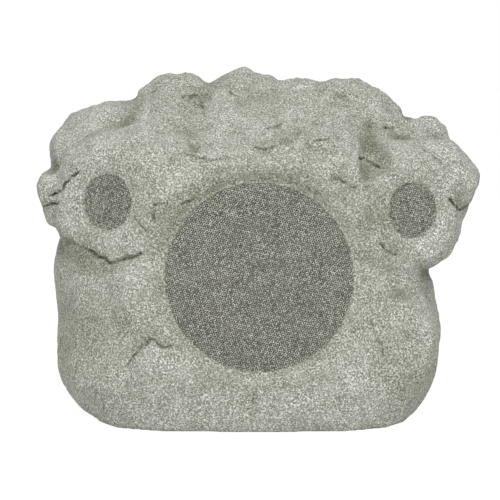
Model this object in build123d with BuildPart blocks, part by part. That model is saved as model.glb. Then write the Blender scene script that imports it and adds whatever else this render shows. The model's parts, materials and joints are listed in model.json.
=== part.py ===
from build123d import *

import math
import os
from collections import namedtuple

# Rock-shaped garden loudspeaker.
#
# A hollow cast boulder carries a tilted woofer in its face and a tweeter in each
# shoulder, all behind lattice grilles. A plate closes the boulder from below and
# carries the crossover.
#
# Millimetres, +Z up, the face towards -Y, origin on the ground under the boulder's middle.

os.makedirs("parts", exist_ok=True)

# Boulder
ROCK_WIDTH = 480.0
ROCK_DEPTH = 396.0
ROCK_HEIGHT = 367.0
WALL = 12.0
ROOF = 14.0
ROUNDNESS = 2.6  # exponent of the ring outlines: 2 is an ellipse, higher is squarer
FOOT_ROUNDNESS = 3.6
SHOULDER_REACH = 100.0  # length that the shoulder rings are shares of
RIM_WIDTH = 14.0  # foot of rock that stands on the ground
LEDGE_WIDTH = 20.0  # inner ledge that the base plate is fixed to
LEDGE_THICKNESS = 12.0
LIP_STEP = 2.5  # straight wall in front of the woofer's grille
APRON_WIDTH = 20.0  # dished band of rock around the woofer's grille
APRON_RISE = 9.5
LIP_FLARE = 14.0  # degrees that the rock opens outward beyond that
LIP_LENGTH = 60.0  # how far the flared cut runs out, clear of the rock

# Base
PLATE_RECESS = 3.0
PLATE_THICKNESS = 6.0
PLATE_CLEARANCE = 0.5
BASE_GASKET_THICKNESS = 2.0
BASE_GASKET_WIDTH = 8.0

# Screws: one size for the base and the woofer, a smaller one for the tweeters
SCREW_RADIUS = 2.0
SCREW_HEAD_RADIUS = 3.8
SCREW_HEAD_HEIGHT = 2.4
SCREW_BITE = 10.0  # length in the rock
SMALL_SCREW_RADIUS = 1.4
SMALL_SCREW_HEAD_RADIUS = 2.6
SMALL_SCREW_HEAD_HEIGHT = 1.8
SMALL_SCREW_BITE = 8.0
SCREW_CLEARANCE = 0.2
BASE_SCREWS = 10
WOOFER_SCREWS = 8
TWEETER_SCREWS = 3

# Grilles
GRILLE_SHEET = 1.0
RECESS_CLEARANCE = 0.5

# Woofer, along its axis from the grille's outer face inward
WOOFER_HEIGHT = 160.0
WOOFER_SETBACK = 30.0
WOOFER_TILT = 10.0
WOOFER_OPENING_RADIUS = 98.0
WOOFER_GRILLE_HEIGHT = 18.0
WOOFER_GRILLE_BORDER = 5.0
WOOFER_GRILLE_PITCH = 20.0
WOOFER_GRILLE_STRAND = 5.0
FLANGE_THICKNESS = 4.0
FLANGE_RIM = 12.0  # outer part of the flange, outside the surround
FRAME_WALL = 3.0
FRAME_FLOOR = 2.0
FRAME_SPOKES = 6
FRAME_WINDOW_WIDTH = 46.0
FRAME_WINDOW_MARGIN = 2.0
SEAT_THICKNESS = 14.0
BOSS_WALL = 14.0
GASKET_THICKNESS = 2.0
SURROUND_LIP = 5.0
SURROUND_WIDTH = 14.0
SURROUND_RISE = 6.0
SURROUND_THICKNESS = 1.0
CONE_DEPTH = 26.0
CONE_THICKNESS = 0.8
CAP_RADIUS = 28.0
CAP_RISE = 6.0
CAP_SLANT = 10.0
CAP_THICKNESS = 0.8
COIL_INNER_RADIUS = 19.0
FORMER_THICKNESS = 0.5
WINDING_THICKNESS = 0.8
WINDING_LENGTH = 14.0
FORMER_STAND = 1.5  # former above the cone's neck, under the cap
COIL_GAP = 0.6  # air on each side of the coil
GLUE_LINE = 0.1
SPIDER_DROP = 10.0  # from the cone's neck to the spider's ledge
SPIDER_LEDGE = 10.0
SPIDER_RADIUS = 55.0
SPIDER_RIM = 7.0
SPIDER_RISE = 2.5
SPIDER_COLLAR = 4.0
SPIDER_THICKNESS = 0.8
MOTOR_DROP = 16.0  # from the spider's ledge to the magnet's front plate
FRONT_PLATE_RADIUS = 42.0
FRONT_PLATE_THICKNESS = 6.0
FRAME_FLOOR_MARGIN = 3.0  # frame floor wider than the coil's gap
MAGNET_RADIUS = 45.0
MAGNET_BORE_MARGIN = 5.0  # magnet bore wider than the coil's gap
MAGNET_THICKNESS = 16.0
BACK_PLATE_RADIUS = 43.0
BACK_PLATE_THICKNESS = 6.0
TERMINAL_WIDTH = 22.0
TERMINAL_LENGTH = 20.0
TERMINAL_THICKNESS = 1.6
TERMINAL_LAP = 8.0  # how far the terminal strip lies under the spider's ledge
TAG_WIDTH = 4.8
TAG_SPACING = 11.0
TAG_HEIGHT = 7.0

# Tweeters
TWEETER_OPENING_RADIUS = 30.0
TWEETER_GRILLE_HEIGHT = 9.0
TWEETER_GRILLE_BORDER = 2.5
TWEETER_GRILLE_PITCH = 9.0
TWEETER_GRILLE_STRAND = 2.5
TWEETER_PITCH = 5.0
FACEPLATE_THICKNESS = 3.0
THROAT_RADIUS = 14.0
THROAT_FLARE = 4.0
DOME_RADIUS = 12.7
DOME_RISE = 4.5
TWEETER_MOTOR_RADIUS = 20.0
TWEETER_MOTOR_LENGTH = 20.0
TWEETER_BORE_CLEARANCE = 0.5
TWEETER_BORE_DEPTH = 16.0  # bore behind the motor, into the hollow
LEFT_TWEETER_INSET = 83.0
LEFT_TWEETER_SETBACK = 61.0
LEFT_TWEETER_HEIGHT = 234.0
RIGHT_TWEETER_INSET = 81.0
RIGHT_TWEETER_SETBACK = 65.0
RIGHT_TWEETER_HEIGHT = 225.0
TWEETER_YAW = 28.0

# Crossover
BOARD_WIDTH = 132.0
BOARD_LENGTH = 86.0
BOARD_THICKNESS = 1.6
BOARD_SETBACK = 52.0
RIB_HEIGHT = 8.0
RIB_WIDTH = 5.0
RIB_SPACING = 100.0
CHOKE_RADIUS = 20.0
CHOKE_BORE_RADIUS = 9.0
CHOKE_HEIGHT = 18.0
CHOKE_OFFSET = 38.0
CAPACITOR_LENGTH = 32.0
CAPACITOR_WIDTH = 16.0
CAPACITOR_HEIGHT = 24.0
CAPACITOR_OFFSET = 8.0
RESISTOR_LENGTH = 26.0
RESISTOR_WIDTH = 9.0
RESISTOR_OFFSET = 45.0
COMPONENT_SPACING = 44.0
BLOCK_LENGTH = 48.0
BLOCK_WIDTH = 12.0
BLOCK_HEIGHT = 13.0
BLOCK_WAYS = 6
BLOCK_WAY_WIDTH = 4.5
BLOCK_WAY_DEPTH = 6.0

# Cable entry
GROMMET_HEIGHT = 42.0
GROMMET_RADIUS = 8.0
GROMMET_FLANGE_RADIUS = 12.0
GROMMET_FLANGE_THICKNESS = 2.5
GROMMET_CLEARANCE = 0.2
GROMMET_DIMPLE_RADIUS = 4.0
GROMMET_DIMPLE_DEPTH = 3.0
SPOT_FACE_MARGIN = 2.0
SPOT_FACE_SETBACK = 6.0  # spot face behind the boulder's rearmost point

# Places worked out from the sizes above
half_width = ROCK_WIDTH / 2
half_depth = ROCK_DEPTH / 2
plate_top = PLATE_RECESS + PLATE_THICKNESS
ledge_bottom = plate_top + BASE_GASKET_THICKNESS
hollow_floor = ledge_bottom + LEDGE_THICKNESS
opening_inset = RIM_WIDTH + LEDGE_WIDTH

Ring = namedtuple("Ring", "level left right near far roundness", defaults=[ROUNDNESS])
Lump = namedtuple("Lump", "corners place rings")

# The boulder is a union of lumps. Each is the hull of a few level rings with a reach to
# the left, right, near and far side. Reaches are shares of the half width and half depth,
# levels are shares of the height, and a lump's place is a share of the same lengths.
TRUNK = Lump(20, (0, 0), [
    Ring(0.000, 0.825, 0.730, 0.910, 0.920, FOOT_ROUNDNESS),
    Ring(0.033, 0.860, 0.765, 0.940, 0.955, FOOT_ROUNDNESS),
    Ring(0.123, 0.915, 0.810, 0.980, 0.985, FOOT_ROUNDNESS),
    Ring(0.232, 0.930, 0.840, 1.000, 1.000),
    Ring(0.381, 0.940, 0.800, 0.960, 0.980),
    Ring(0.545, 0.905, 0.745, 0.870, 0.950),
    Ring(0.681, 0.790, 0.685, 0.760, 0.870),
])
CROWN = Lump(18, (0, 0), [
    Ring(0.518, 0.810, 0.730, 0.840, 0.960),
    Ring(0.668, 0.825, 0.710, 0.855, 0.920),
    Ring(0.748, 0.810, 0.690, 0.830, 0.870),
    Ring(0.866, 0.710, 0.605, 0.365, 0.695),
    Ring(0.937, 0.440, 0.440, 0.025, 0.445),
])
KNOBS = {
    "left slab": Lump(10, (-0.690, -0.050), [
        Ring(0.550, 0.150, 0.250, 0.350, 0.350),
        Ring(0.681, 0.250, 0.250, 0.480, 0.480),
        Ring(0.777, 0.270, 0.310, 0.425, 0.455),
        Ring(0.823, 0.230, 0.310, 0.325, 0.425),
        Ring(0.861, 0.175, 0.310, 0.220, 0.385),
        Ring(0.894, 0.020, 0.260, 0.080, 0.305),
    ]),
    "left cheek": Lump(8, (-0.910, -0.355), [
        Ring(0.550, 0.035, 0.065, 0.100, 0.100),
        Ring(0.605, 0.065, 0.085, 0.140, 0.140),
        Ring(0.660, 0.090, 0.090, 0.160, 0.160),
        Ring(0.705, 0.065, 0.090, 0.140, 0.140),
    ]),
    "right cheek": Lump(8, (0.833, -0.250), [
        Ring(0.450, 0.165, 0.010, 0.080, 0.080),
        Ring(0.563, 0.185, 0.080, 0.210, 0.190),
        Ring(0.668, 0.250, 0.167, 0.300, 0.320),
        Ring(0.714, 0.250, 0.155, 0.280, 0.300),
        Ring(0.796, 0.210, 0.030, 0.200, 0.200),
    ]),
    "right slab": Lump(9, (0.688, -0.025), [
        Ring(0.580, 0.200, 0.040, 0.300, 0.300),
        Ring(0.714, 0.250, 0.140, 0.380, 0.380),
        Ring(0.807, 0.210, 0.110, 0.250, 0.280),
        Ring(0.847, 0.165, 0.040, 0.125, 0.175),
    ]),
    "right corner": Lump(8, (0.792, -0.025), [
        Ring(0.650, 0.125, 0.040, 0.150, 0.150),
        Ring(0.749, 0.125, 0.100, 0.200, 0.200),
        Ring(0.823, 0.085, 0.070, 0.130, 0.140),
        Ring(0.856, 0.050, 0.017, 0.070, 0.080),
    ]),
    "left top": Lump(9, (-0.375, 0.080), [
        Ring(0.861, 0.225, 0.225, 0.315, 0.315),
        Ring(0.926, 0.175, 0.175, 0.210, 0.210),
        Ring(0.965, 0.115, 0.110, 0.120, 0.130),
        Ring(0.981, 0.050, 0.060, 0.050, 0.060),
    ]),
    "peak": Lump(8, (-0.070, 0.160), [
        Ring(0.916, 0.260, 0.250, 0.315, 0.265),
        Ring(0.959, 0.135, 0.125, 0.150, 0.130),
        Ring(1.000, 0.017, 0.017, 0.040, 0.040),
    ]),
    "right top": Lump(11, (0.317, 0.080), [
        Ring(0.790, 0.395, 0.385, 0.530, 0.530),
        Ring(0.888, 0.315, 0.335, 0.335, 0.375),
        Ring(0.935, 0.255, 0.235, 0.210, 0.250),
        Ring(0.962, 0.165, 0.150, 0.120, 0.170),
    ]),
    "left plate": Lump(9, (-0.433, -0.050), [
        Ring(0.695, 0.170, 0.160, 0.798, 0.150, FOOT_ROUNDNESS),
        Ring(0.790, 0.165, 0.150, 0.707, 0.150, FOOT_ROUNDNESS),
        Ring(0.872, 0.140, 0.120, 0.333, 0.150, FOOT_ROUNDNESS),
        Ring(0.925, 0.080, 0.070, 0.090, 0.150),
    ]),
    "middle ridge": Lump(7, (-0.158, -0.050), [
        Ring(0.790, 0.100, 0.095, 0.645, 0.150, FOOT_ROUNDNESS),
        Ring(0.872, 0.085, 0.075, 0.313, 0.200, FOOT_ROUNDNESS),
        Ring(0.935, 0.065, 0.055, 0.076, 0.200),
    ]),
    "right plate": Lump(9, (0.250, -0.050), [
        Ring(0.720, 0.200, 0.210, 0.788, 0.150, FOOT_ROUNDNESS),
        Ring(0.795, 0.220, 0.200, 0.650, 0.150, FOOT_ROUNDNESS),
        Ring(0.872, 0.200, 0.180, 0.345, 0.150, FOOT_ROUNDNESS),
        Ring(0.935, 0.150, 0.140, 0.115, 0.150),
    ]),
    "left brow ledge": Lump(8, (-0.210, -0.450), [
        Ring(0.766, 0.120, 0.120, 0.348, 0.100, FOOT_ROUNDNESS),
        Ring(0.804, 0.110, 0.100, 0.190, 0.100),
        Ring(0.833, 0.070, 0.070, 0.060, 0.100),
    ]),
    "middle brow ledge": Lump(7, (0.030, -0.400), [
        Ring(0.782, 0.085, 0.085, 0.335, 0.100, FOOT_ROUNDNESS),
        Ring(0.828, 0.070, 0.080, 0.145, 0.100),
    ]),
    "right brow ledge": Lump(7, (0.260, -0.400), [
        Ring(0.798, 0.090, 0.080, 0.350, 0.100, FOOT_ROUNDNESS),
        Ring(0.846, 0.075, 0.080, 0.170, 0.100),
    ]),
    "left back crag": Lump(8, (-0.400, 0.450), [
        Ring(0.790, 0.150, 0.150, 0.100, 0.310, FOOT_ROUNDNESS),
        Ring(0.876, 0.130, 0.130, 0.100, 0.195, FOOT_ROUNDNESS),
        Ring(0.930, 0.080, 0.070, 0.100, 0.040),
    ]),
    "middle back crag": Lump(8, (0.050, 0.500), [
        Ring(0.760, 0.120, 0.130, 0.100, 0.385, FOOT_ROUNDNESS),
        Ring(0.872, 0.110, 0.120, 0.100, 0.235, FOOT_ROUNDNESS),
        Ring(0.940, 0.080, 0.070, 0.100, 0.020),
    ]),
    "right back crag": Lump(8, (0.420, 0.420), [
        Ring(0.750, 0.110, 0.130, 0.100, 0.370, FOOT_ROUNDNESS),
        Ring(0.850, 0.100, 0.110, 0.100, 0.245, FOOT_ROUNDNESS),
        Ring(0.905, 0.070, 0.060, 0.100, 0.080),
    ]),
    "left bulge": Lump(8, (-0.492, -0.556), [
        Ring(0.286, 0.100, 0.120, 0.374, 0.200, FOOT_ROUNDNESS),
        Ring(0.354, 0.135, 0.120, 0.379, 0.200, FOOT_ROUNDNESS),
        Ring(0.422, 0.135, 0.120, 0.359, 0.200, FOOT_ROUNDNESS),
        Ring(0.485, 0.110, 0.120, 0.300, 0.200),
    ]),
    "lower left bulge": Lump(8, (-0.417, -0.606), [
        Ring(0.055, 0.110, 0.240, 0.330, 0.200, FOOT_ROUNDNESS),
        Ring(0.140, 0.160, 0.300, 0.392, 0.200, FOOT_ROUNDNESS),
        Ring(0.215, 0.140, 0.240, 0.390, 0.200, FOOT_ROUNDNESS),
        Ring(0.254, 0.090, 0.140, 0.340, 0.200),
    ]),
    "lower right bulge": Lump(8, (0.583, -0.505), [
        Ring(0.054, 0.040, 0.110, 0.293, 0.200),
        Ring(0.163, 0.060, 0.205, 0.410, 0.250, FOOT_ROUNDNESS),
        Ring(0.272, 0.050, 0.210, 0.400, 0.250, FOOT_ROUNDNESS),
        Ring(0.360, 0.040, 0.150, 0.303, 0.200),
    ]),
}
# Lumps that are taken away
SCOOPS = {
    "right gully": Lump(8, (0.504, -0.758), [
        Ring(0.700, 0.065, 0.060, 0.300, 0.020),
        Ring(0.801, 0.085, 0.075, 0.300, 0.344),
        Ring(0.860, 0.085, 0.075, 0.300, 0.560),
    ]),
}
# Shoulder rings lie across a tweeter's axis: levels run outward from its grille, near is
# below and far is above, all as shares of the shoulder reach.
SHOULDER_CORNERS = 12
LEFT_SHOULDER = [
    Ring(-1.26, 0.45, 1.05, 0.40, 0.62),
    Ring(-0.90, 0.70, 1.05, 0.58, 0.76),
    Ring(-0.52, 0.85, 1.05, 0.68, 0.82),
    Ring(-0.14, 0.80, 0.96, 0.67, 0.68),
    Ring(0.03, 0.60, 0.68, 0.55, 0.50),
]
RIGHT_SHOULDER = [
    Ring(-1.26, 1.05, 0.45, 0.40, 0.60),
    Ring(-0.90, 1.05, 0.70, 0.60, 0.72),
    Ring(-0.52, 1.05, 0.84, 0.70, 0.76),
    Ring(-0.14, 0.90, 0.74, 0.68, 0.64),
    Ring(0.03, 0.64, 0.54, 0.54, 0.48),
]


def ring_corners(ring, count, turn, size, inset=0.0):
    """Corners of one ring, a rounded square with four reaches of its own, drawn in by an inset."""
    corners = []
    for index in range(count):
        angle = 2 * math.pi * (index + turn) / count
        across = math.cos(angle)
        along = math.sin(angle)
        reach_x = (ring.right if across > 0 else ring.left) * size.X - inset
        reach_y = (ring.far if along > 0 else ring.near) * size.Y - inset
        x = math.copysign(reach_x * abs(across) ** (2 / ring.roundness), across)
        y = math.copysign(reach_y * abs(along) ** (2 / ring.roundness), along)
        corners.append(Vector(x, y, ring.level * size.Z))
    return corners


def hull(rings, count, seat, size, inset=0.0, mode=Mode.ADD):
    """Convex lump over a stack of rings, every second ring turned by half a corner."""
    corners = []
    for index, ring in enumerate(rings):
        turn = 0.5 * (index % 2)
        corners += ring_corners(ring, count, turn, size, inset)
    ConvexPolyhedron([seat.from_local_coords(corner) for corner in corners], mode=mode)


def lump_seat(lump):
    """Plane on the ground at a lump's place."""
    return Plane((lump.place[0] * half_width, lump.place[1] * half_depth, 0))


def facing(place, yaw, pitch):
    """Plane of a grille's outer face, its normal turned from -Y by yaw and raised by pitch."""
    turn = math.radians(yaw)
    rise = math.radians(pitch)
    outward = (
        math.sin(turn) * math.cos(rise),
        -math.cos(turn) * math.cos(rise),
        math.sin(rise),
    )
    return Plane(origin=place, x_dir=(math.cos(turn), math.sin(turn), 0), z_dir=outward)


def turn_profile(seat, points, mode=Mode.ADD):
    """Turn a closed profile of (radius, height along the axis) points about a seat's axis."""
    half = Plane(origin=seat.origin, x_dir=seat.x_dir, z_dir=seat.y_dir * -1)
    with BuildSketch(half) as profile:
        with BuildLine():
            Polyline(*points, close=True)
        make_face()
    revolve(profile.sketch, axis=Axis(seat.origin, seat.z_dir), mode=mode)


def base_outline(inset):
    """Foot outline of the boulder, drawn in."""
    corners = ring_corners(TRUNK.rings[0], TRUNK.corners, 0, rock_size, inset)
    return [(corner.X, corner.Y) for corner in corners]


def slab(outline, bottom, height, mode=Mode.ADD):
    """Upright slab over an outline."""
    with BuildSketch(Plane.XY.offset(bottom)) as face:
        with BuildLine():
            Polyline(*outline, close=True)
        make_face()
    extrude(face.sketch, amount=height, mode=mode)


def lattice_places(pitch, gap, reach):
    """Centres of the diagonal gaps that lie whole inside a reach."""
    step = pitch / math.sqrt(2)
    span = math.ceil(reach / step)
    places = []
    for row in range(-span, span + 1):
        for column in range(-span, span + 1):
            place = (step * column, step * row)
            whole = math.hypot(*place) + gap / math.sqrt(2) <= reach
            if (row + column) % 2 == 0 and whole:
                places.append(place)
    return places


def pierced_cup(seat, radius, height, border, pitch, strand):
    """Grille: a skirt that stands on the driver, and a face pierced by diagonal square gaps."""
    inner = radius - GRILLE_SHEET
    turn_profile(seat, [
        (0, 0),
        (radius, 0),
        (radius, -height),
        (inner, -height),
        (inner, -GRILLE_SHEET),
        (0, -GRILLE_SHEET),
    ])
    gap = pitch - strand
    with BuildSketch(seat) as gaps:
        with Locations(*lattice_places(pitch, gap, radius - border)):
            Rectangle(gap, gap, rotation=45)
    extrude(gaps.sketch, amount=-2 * GRILLE_SHEET, mode=Mode.SUBTRACT)


def drive_screws(seat, places, head_radius, head_height, shank_radius, length):
    """Pan-head screws whose heads stand on a seat, with their shanks driven behind it."""
    with BuildSketch(seat) as heads:
        with Locations(*places):
            Circle(head_radius)
    extrude(heads.sketch, amount=head_height)
    with BuildSketch(seat) as shanks:
        with Locations(*places):
            Circle(shank_radius)
    extrude(shanks.sketch, amount=-length)


def drill(seat, places, radius, depth):
    """Round holes at several places behind a seat."""
    with BuildSketch(seat) as holes:
        with Locations(*places):
            Circle(radius)
    extrude(holes.sketch, amount=-depth, mode=Mode.SUBTRACT)


def circle_places(radius, count):
    """Places evenly spaced round a circle, the first one half a step from the x axis."""
    angles = [2 * math.pi * (index + 0.5) / count for index in range(count)]
    return [(radius * math.cos(angle), radius * math.sin(angle)) for angle in angles]


def keep(piece, name):
    """Label a finished piece and write it."""
    piece.part.label = name
    export_step(piece.part, f"parts/{name}.step")


rock_size = Vector(half_width, half_depth, ROCK_HEIGHT)
shoulder_size = Vector(SHOULDER_REACH, SHOULDER_REACH, SHOULDER_REACH)

woofer_seat = facing((0, WOOFER_SETBACK - half_depth, WOOFER_HEIGHT), 0, WOOFER_TILT)
left_seat = facing(
    (LEFT_TWEETER_INSET - half_width, LEFT_TWEETER_SETBACK - half_depth, LEFT_TWEETER_HEIGHT),
    -TWEETER_YAW,
    TWEETER_PITCH,
)
right_seat = facing(
    (half_width - RIGHT_TWEETER_INSET, RIGHT_TWEETER_SETBACK - half_depth, RIGHT_TWEETER_HEIGHT),
    TWEETER_YAW,
    TWEETER_PITCH,
)
tweeter_seats = {"left": left_seat, "right": right_seat}

# Heights along the woofer's axis
frame_front = -WOOFER_GRILLE_HEIGHT
frame_back = frame_front - FLANGE_THICKNESS
woofer_ledge = frame_back - GASKET_THICKNESS
neck = frame_front - CONE_DEPTH
spider_seat = neck - SPIDER_DROP
front_plate_front = spider_seat - MOTOR_DROP
front_plate_back = front_plate_front - FRONT_PLATE_THICKNESS
magnet_back = front_plate_back - MAGNET_THICKNESS
motor_back = magnet_back - BACK_PLATE_THICKNESS

# Radii about the woofer's axis
frame_radius = WOOFER_OPENING_RADIUS - RECESS_CLEARANCE
surround_radius = frame_radius - FLANGE_RIM
roll_outer = surround_radius - SURROUND_LIP
cone_radius = roll_outer - SURROUND_WIDTH
cone_edge = cone_radius - SURROUND_LIP
throat_radius = roll_outer + FRAME_WALL
baffle_radius = throat_radius + RECESS_CLEARANCE
boss_radius = WOOFER_OPENING_RADIUS + BOSS_WALL
apron_radius = WOOFER_OPENING_RADIUS + APRON_WIDTH
former_radius = COIL_INNER_RADIUS + FORMER_THICKNESS
winding_radius = former_radius + WINDING_THICKNESS
gap_radius = winding_radius + COIL_GAP
pole_radius = COIL_INNER_RADIUS - COIL_GAP

# Heights along a tweeter's axis
faceplate_front = -TWEETER_GRILLE_HEIGHT
faceplate_back = faceplate_front - FACEPLATE_THICKNESS
tweeter_back = faceplate_back - TWEETER_MOTOR_LENGTH
faceplate_radius = TWEETER_OPENING_RADIUS - RECESS_CLEARANCE

# Screws
screw_hole = SCREW_RADIUS + SCREW_CLEARANCE
small_screw_hole = SMALL_SCREW_RADIUS + SCREW_CLEARANCE
base_screw_inset = (RIM_WIDTH + opening_inset - BASE_GASKET_WIDTH) / 2
base_screw_corners = base_outline(base_screw_inset)[:: TRUNK.corners // BASE_SCREWS]
base_screw_seat = Plane(origin=(0, 0, PLATE_RECESS), x_dir=(1, 0, 0), z_dir=(0, 0, -1))
base_screw_places = [(x, -y) for x, y in base_screw_corners]
base_screw_length = PLATE_THICKNESS + BASE_GASKET_THICKNESS + SCREW_BITE
woofer_screw_circle = (surround_radius + frame_radius - GRILLE_SHEET) / 2
woofer_screw_places = circle_places(woofer_screw_circle, WOOFER_SCREWS)
woofer_screw_length = FLANGE_THICKNESS + GASKET_THICKNESS + SCREW_BITE
tweeter_screw_circle = (TWEETER_MOTOR_RADIUS + faceplate_radius - GRILLE_SHEET) / 2
tweeter_screw_places = circle_places(tweeter_screw_circle, TWEETER_SCREWS)
tweeter_screw_length = FACEPLATE_THICKNESS + SMALL_SCREW_BITE

# Cable entry, facing the rear
grommet_seat = Plane(
    origin=(0, half_depth - SPOT_FACE_SETBACK, GROMMET_HEIGHT), x_dir=(-1, 0, 0), z_dir=(0, 1, 0)
)

# Hollow of the boulder, with a solid boss left around the woofer's seat
with BuildPart() as hollow:
    floor_ring = TRUNK.rings[1]._replace(level=hollow_floor / ROCK_HEIGHT)
    hull([floor_ring] + TRUNK.rings[2:], TRUNK.corners, Plane.XY, rock_size, WALL)
    hull(CROWN.rings, CROWN.corners, Plane.XY.offset(-ROOF), rock_size, WALL)
    boss_back = woofer_ledge - SEAT_THICKNESS
    turn_profile(woofer_seat, [
        (0, LIP_LENGTH),
        (boss_radius, LIP_LENGTH),
        (boss_radius, boss_back),
        (0, boss_back),
    ], Mode.SUBTRACT)

# Boulder
with BuildPart() as rock_shell:
    hull(TRUNK.rings, TRUNK.corners, Plane.XY, rock_size)
    hull(CROWN.rings, CROWN.corners, Plane.XY, rock_size)
    hull(LEFT_SHOULDER, SHOULDER_CORNERS, left_seat, shoulder_size)
    hull(RIGHT_SHOULDER, SHOULDER_CORNERS, right_seat, shoulder_size)
    for knob in KNOBS.values():
        hull(knob.rings, knob.corners, lump_seat(knob), rock_size)
    for scoop in SCOOPS.values():
        hull(scoop.rings, scoop.corners, lump_seat(scoop), rock_size, mode=Mode.SUBTRACT)
    add(hollow.part, mode=Mode.SUBTRACT)
    slab(base_outline(RIM_WIDTH), 0, ledge_bottom, Mode.SUBTRACT)
    slab(base_outline(opening_inset), 0, hollow_floor + WALL, Mode.SUBTRACT)
    flare = LIP_LENGTH * math.tan(math.radians(LIP_FLARE))
    turn_profile(woofer_seat, [
        (0, LIP_LENGTH),
        (apron_radius + flare, LIP_LENGTH),
        (apron_radius, LIP_STEP + APRON_RISE),
        (WOOFER_OPENING_RADIUS, LIP_STEP),
        (WOOFER_OPENING_RADIUS, woofer_ledge),
        (baffle_radius, woofer_ledge),
        (baffle_radius, boss_back - WALL),
        (0, boss_back - WALL),
    ], Mode.SUBTRACT)
    bore_radius = TWEETER_MOTOR_RADIUS + TWEETER_BORE_CLEARANCE
    bore_back = tweeter_back - TWEETER_BORE_DEPTH
    for seat in tweeter_seats.values():
        turn_profile(seat, [
            (0, LIP_LENGTH),
            (TWEETER_OPENING_RADIUS + flare, LIP_LENGTH),
            (TWEETER_OPENING_RADIUS, 0),
            (TWEETER_OPENING_RADIUS, faceplate_back),
            (bore_radius, faceplate_back),
            (bore_radius, bore_back),
            (0, bore_back),
        ], Mode.SUBTRACT)
    spot_radius = GROMMET_FLANGE_RADIUS + SPOT_FACE_MARGIN
    grommet_bore = GROMMET_RADIUS + GROMMET_CLEARANCE
    grommet_depth = 2 * WALL + SPOT_FACE_SETBACK
    turn_profile(grommet_seat, [
        (0, LIP_LENGTH),
        (spot_radius, LIP_LENGTH),
        (spot_radius, 0),
        (grommet_bore, 0),
        (grommet_bore, -grommet_depth),
        (0, -grommet_depth),
    ], Mode.SUBTRACT)
    drill(base_screw_seat, base_screw_places, screw_hole, base_screw_length + SCREW_CLEARANCE)
    woofer_face = woofer_seat.offset(frame_front)
    drill(woofer_face, woofer_screw_places, screw_hole, woofer_screw_length + SCREW_CLEARANCE)
    for seat in tweeter_seats.values():
        tweeter_face = seat.offset(faceplate_front)
        tweeter_hole_depth = tweeter_screw_length + SCREW_CLEARANCE
        drill(tweeter_face, tweeter_screw_places, small_screw_hole, tweeter_hole_depth)
keep(rock_shell, "rock_shell")

# Base
board_place = Plane.XY.offset(plate_top + RIB_HEIGHT)
with BuildPart() as base_plate:
    slab(base_outline(RIM_WIDTH + PLATE_CLEARANCE), PLATE_RECESS, PLATE_THICKNESS)
    with BuildSketch(Plane.XY.offset(plate_top)) as ribs:
        with Locations((0, BOARD_SETBACK)):
            with GridLocations(RIB_SPACING, 0, 2, 1):
                Rectangle(RIB_WIDTH, BOARD_LENGTH)
    extrude(amount=RIB_HEIGHT)
    drill(base_screw_seat, base_screw_places, screw_hole, PLATE_THICKNESS)
keep(base_plate, "base_plate")

with BuildPart() as base_screws:
    drive_screws(
        base_screw_seat,
        base_screw_places,
        SCREW_HEAD_RADIUS,
        SCREW_HEAD_HEIGHT,
        SCREW_RADIUS,
        base_screw_length,
    )
keep(base_screws, "base_screws")

with BuildPart() as base_gasket:
    slab(base_outline(opening_inset - BASE_GASKET_WIDTH), plate_top, BASE_GASKET_THICKNESS)
    slab(base_outline(opening_inset), plate_top, BASE_GASKET_THICKNESS, Mode.SUBTRACT)
keep(base_gasket, "base_gasket")

# Cable entry: a rubber grommet with a closed dimple
with BuildPart() as cable_grommet:
    turn_profile(grommet_seat, [
        (0, GROMMET_FLANGE_THICKNESS - GROMMET_DIMPLE_DEPTH),
        (GROMMET_DIMPLE_RADIUS, GROMMET_FLANGE_THICKNESS),
        (GROMMET_FLANGE_RADIUS, GROMMET_FLANGE_THICKNESS),
        (GROMMET_FLANGE_RADIUS, 0),
        (GROMMET_RADIUS, 0),
        (GROMMET_RADIUS, -WALL),
        (0, -WALL),
    ])
keep(cable_grommet, "cable_grommet")

# Woofer
with BuildPart() as woofer_grille:
    pierced_cup(
        woofer_seat,
        frame_radius,
        WOOFER_GRILLE_HEIGHT,
        WOOFER_GRILLE_BORDER,
        WOOFER_GRILLE_PITCH,
        WOOFER_GRILLE_STRAND,
    )
keep(woofer_grille, "woofer_grille")

with BuildPart() as woofer_gasket:
    turn_profile(woofer_seat, [
        (baffle_radius, frame_back),
        (frame_radius, frame_back),
        (frame_radius, woofer_ledge),
        (baffle_radius, woofer_ledge),
    ])
    drill(woofer_face, woofer_screw_places, screw_hole, woofer_screw_length)
keep(woofer_gasket, "woofer_gasket")

with BuildPart() as woofer_screws:
    drive_screws(
        woofer_face,
        woofer_screw_places,
        SCREW_HEAD_RADIUS,
        SCREW_HEAD_HEIGHT,
        SCREW_RADIUS,
        woofer_screw_length,
    )
keep(woofer_screws, "woofer_screws")

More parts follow.
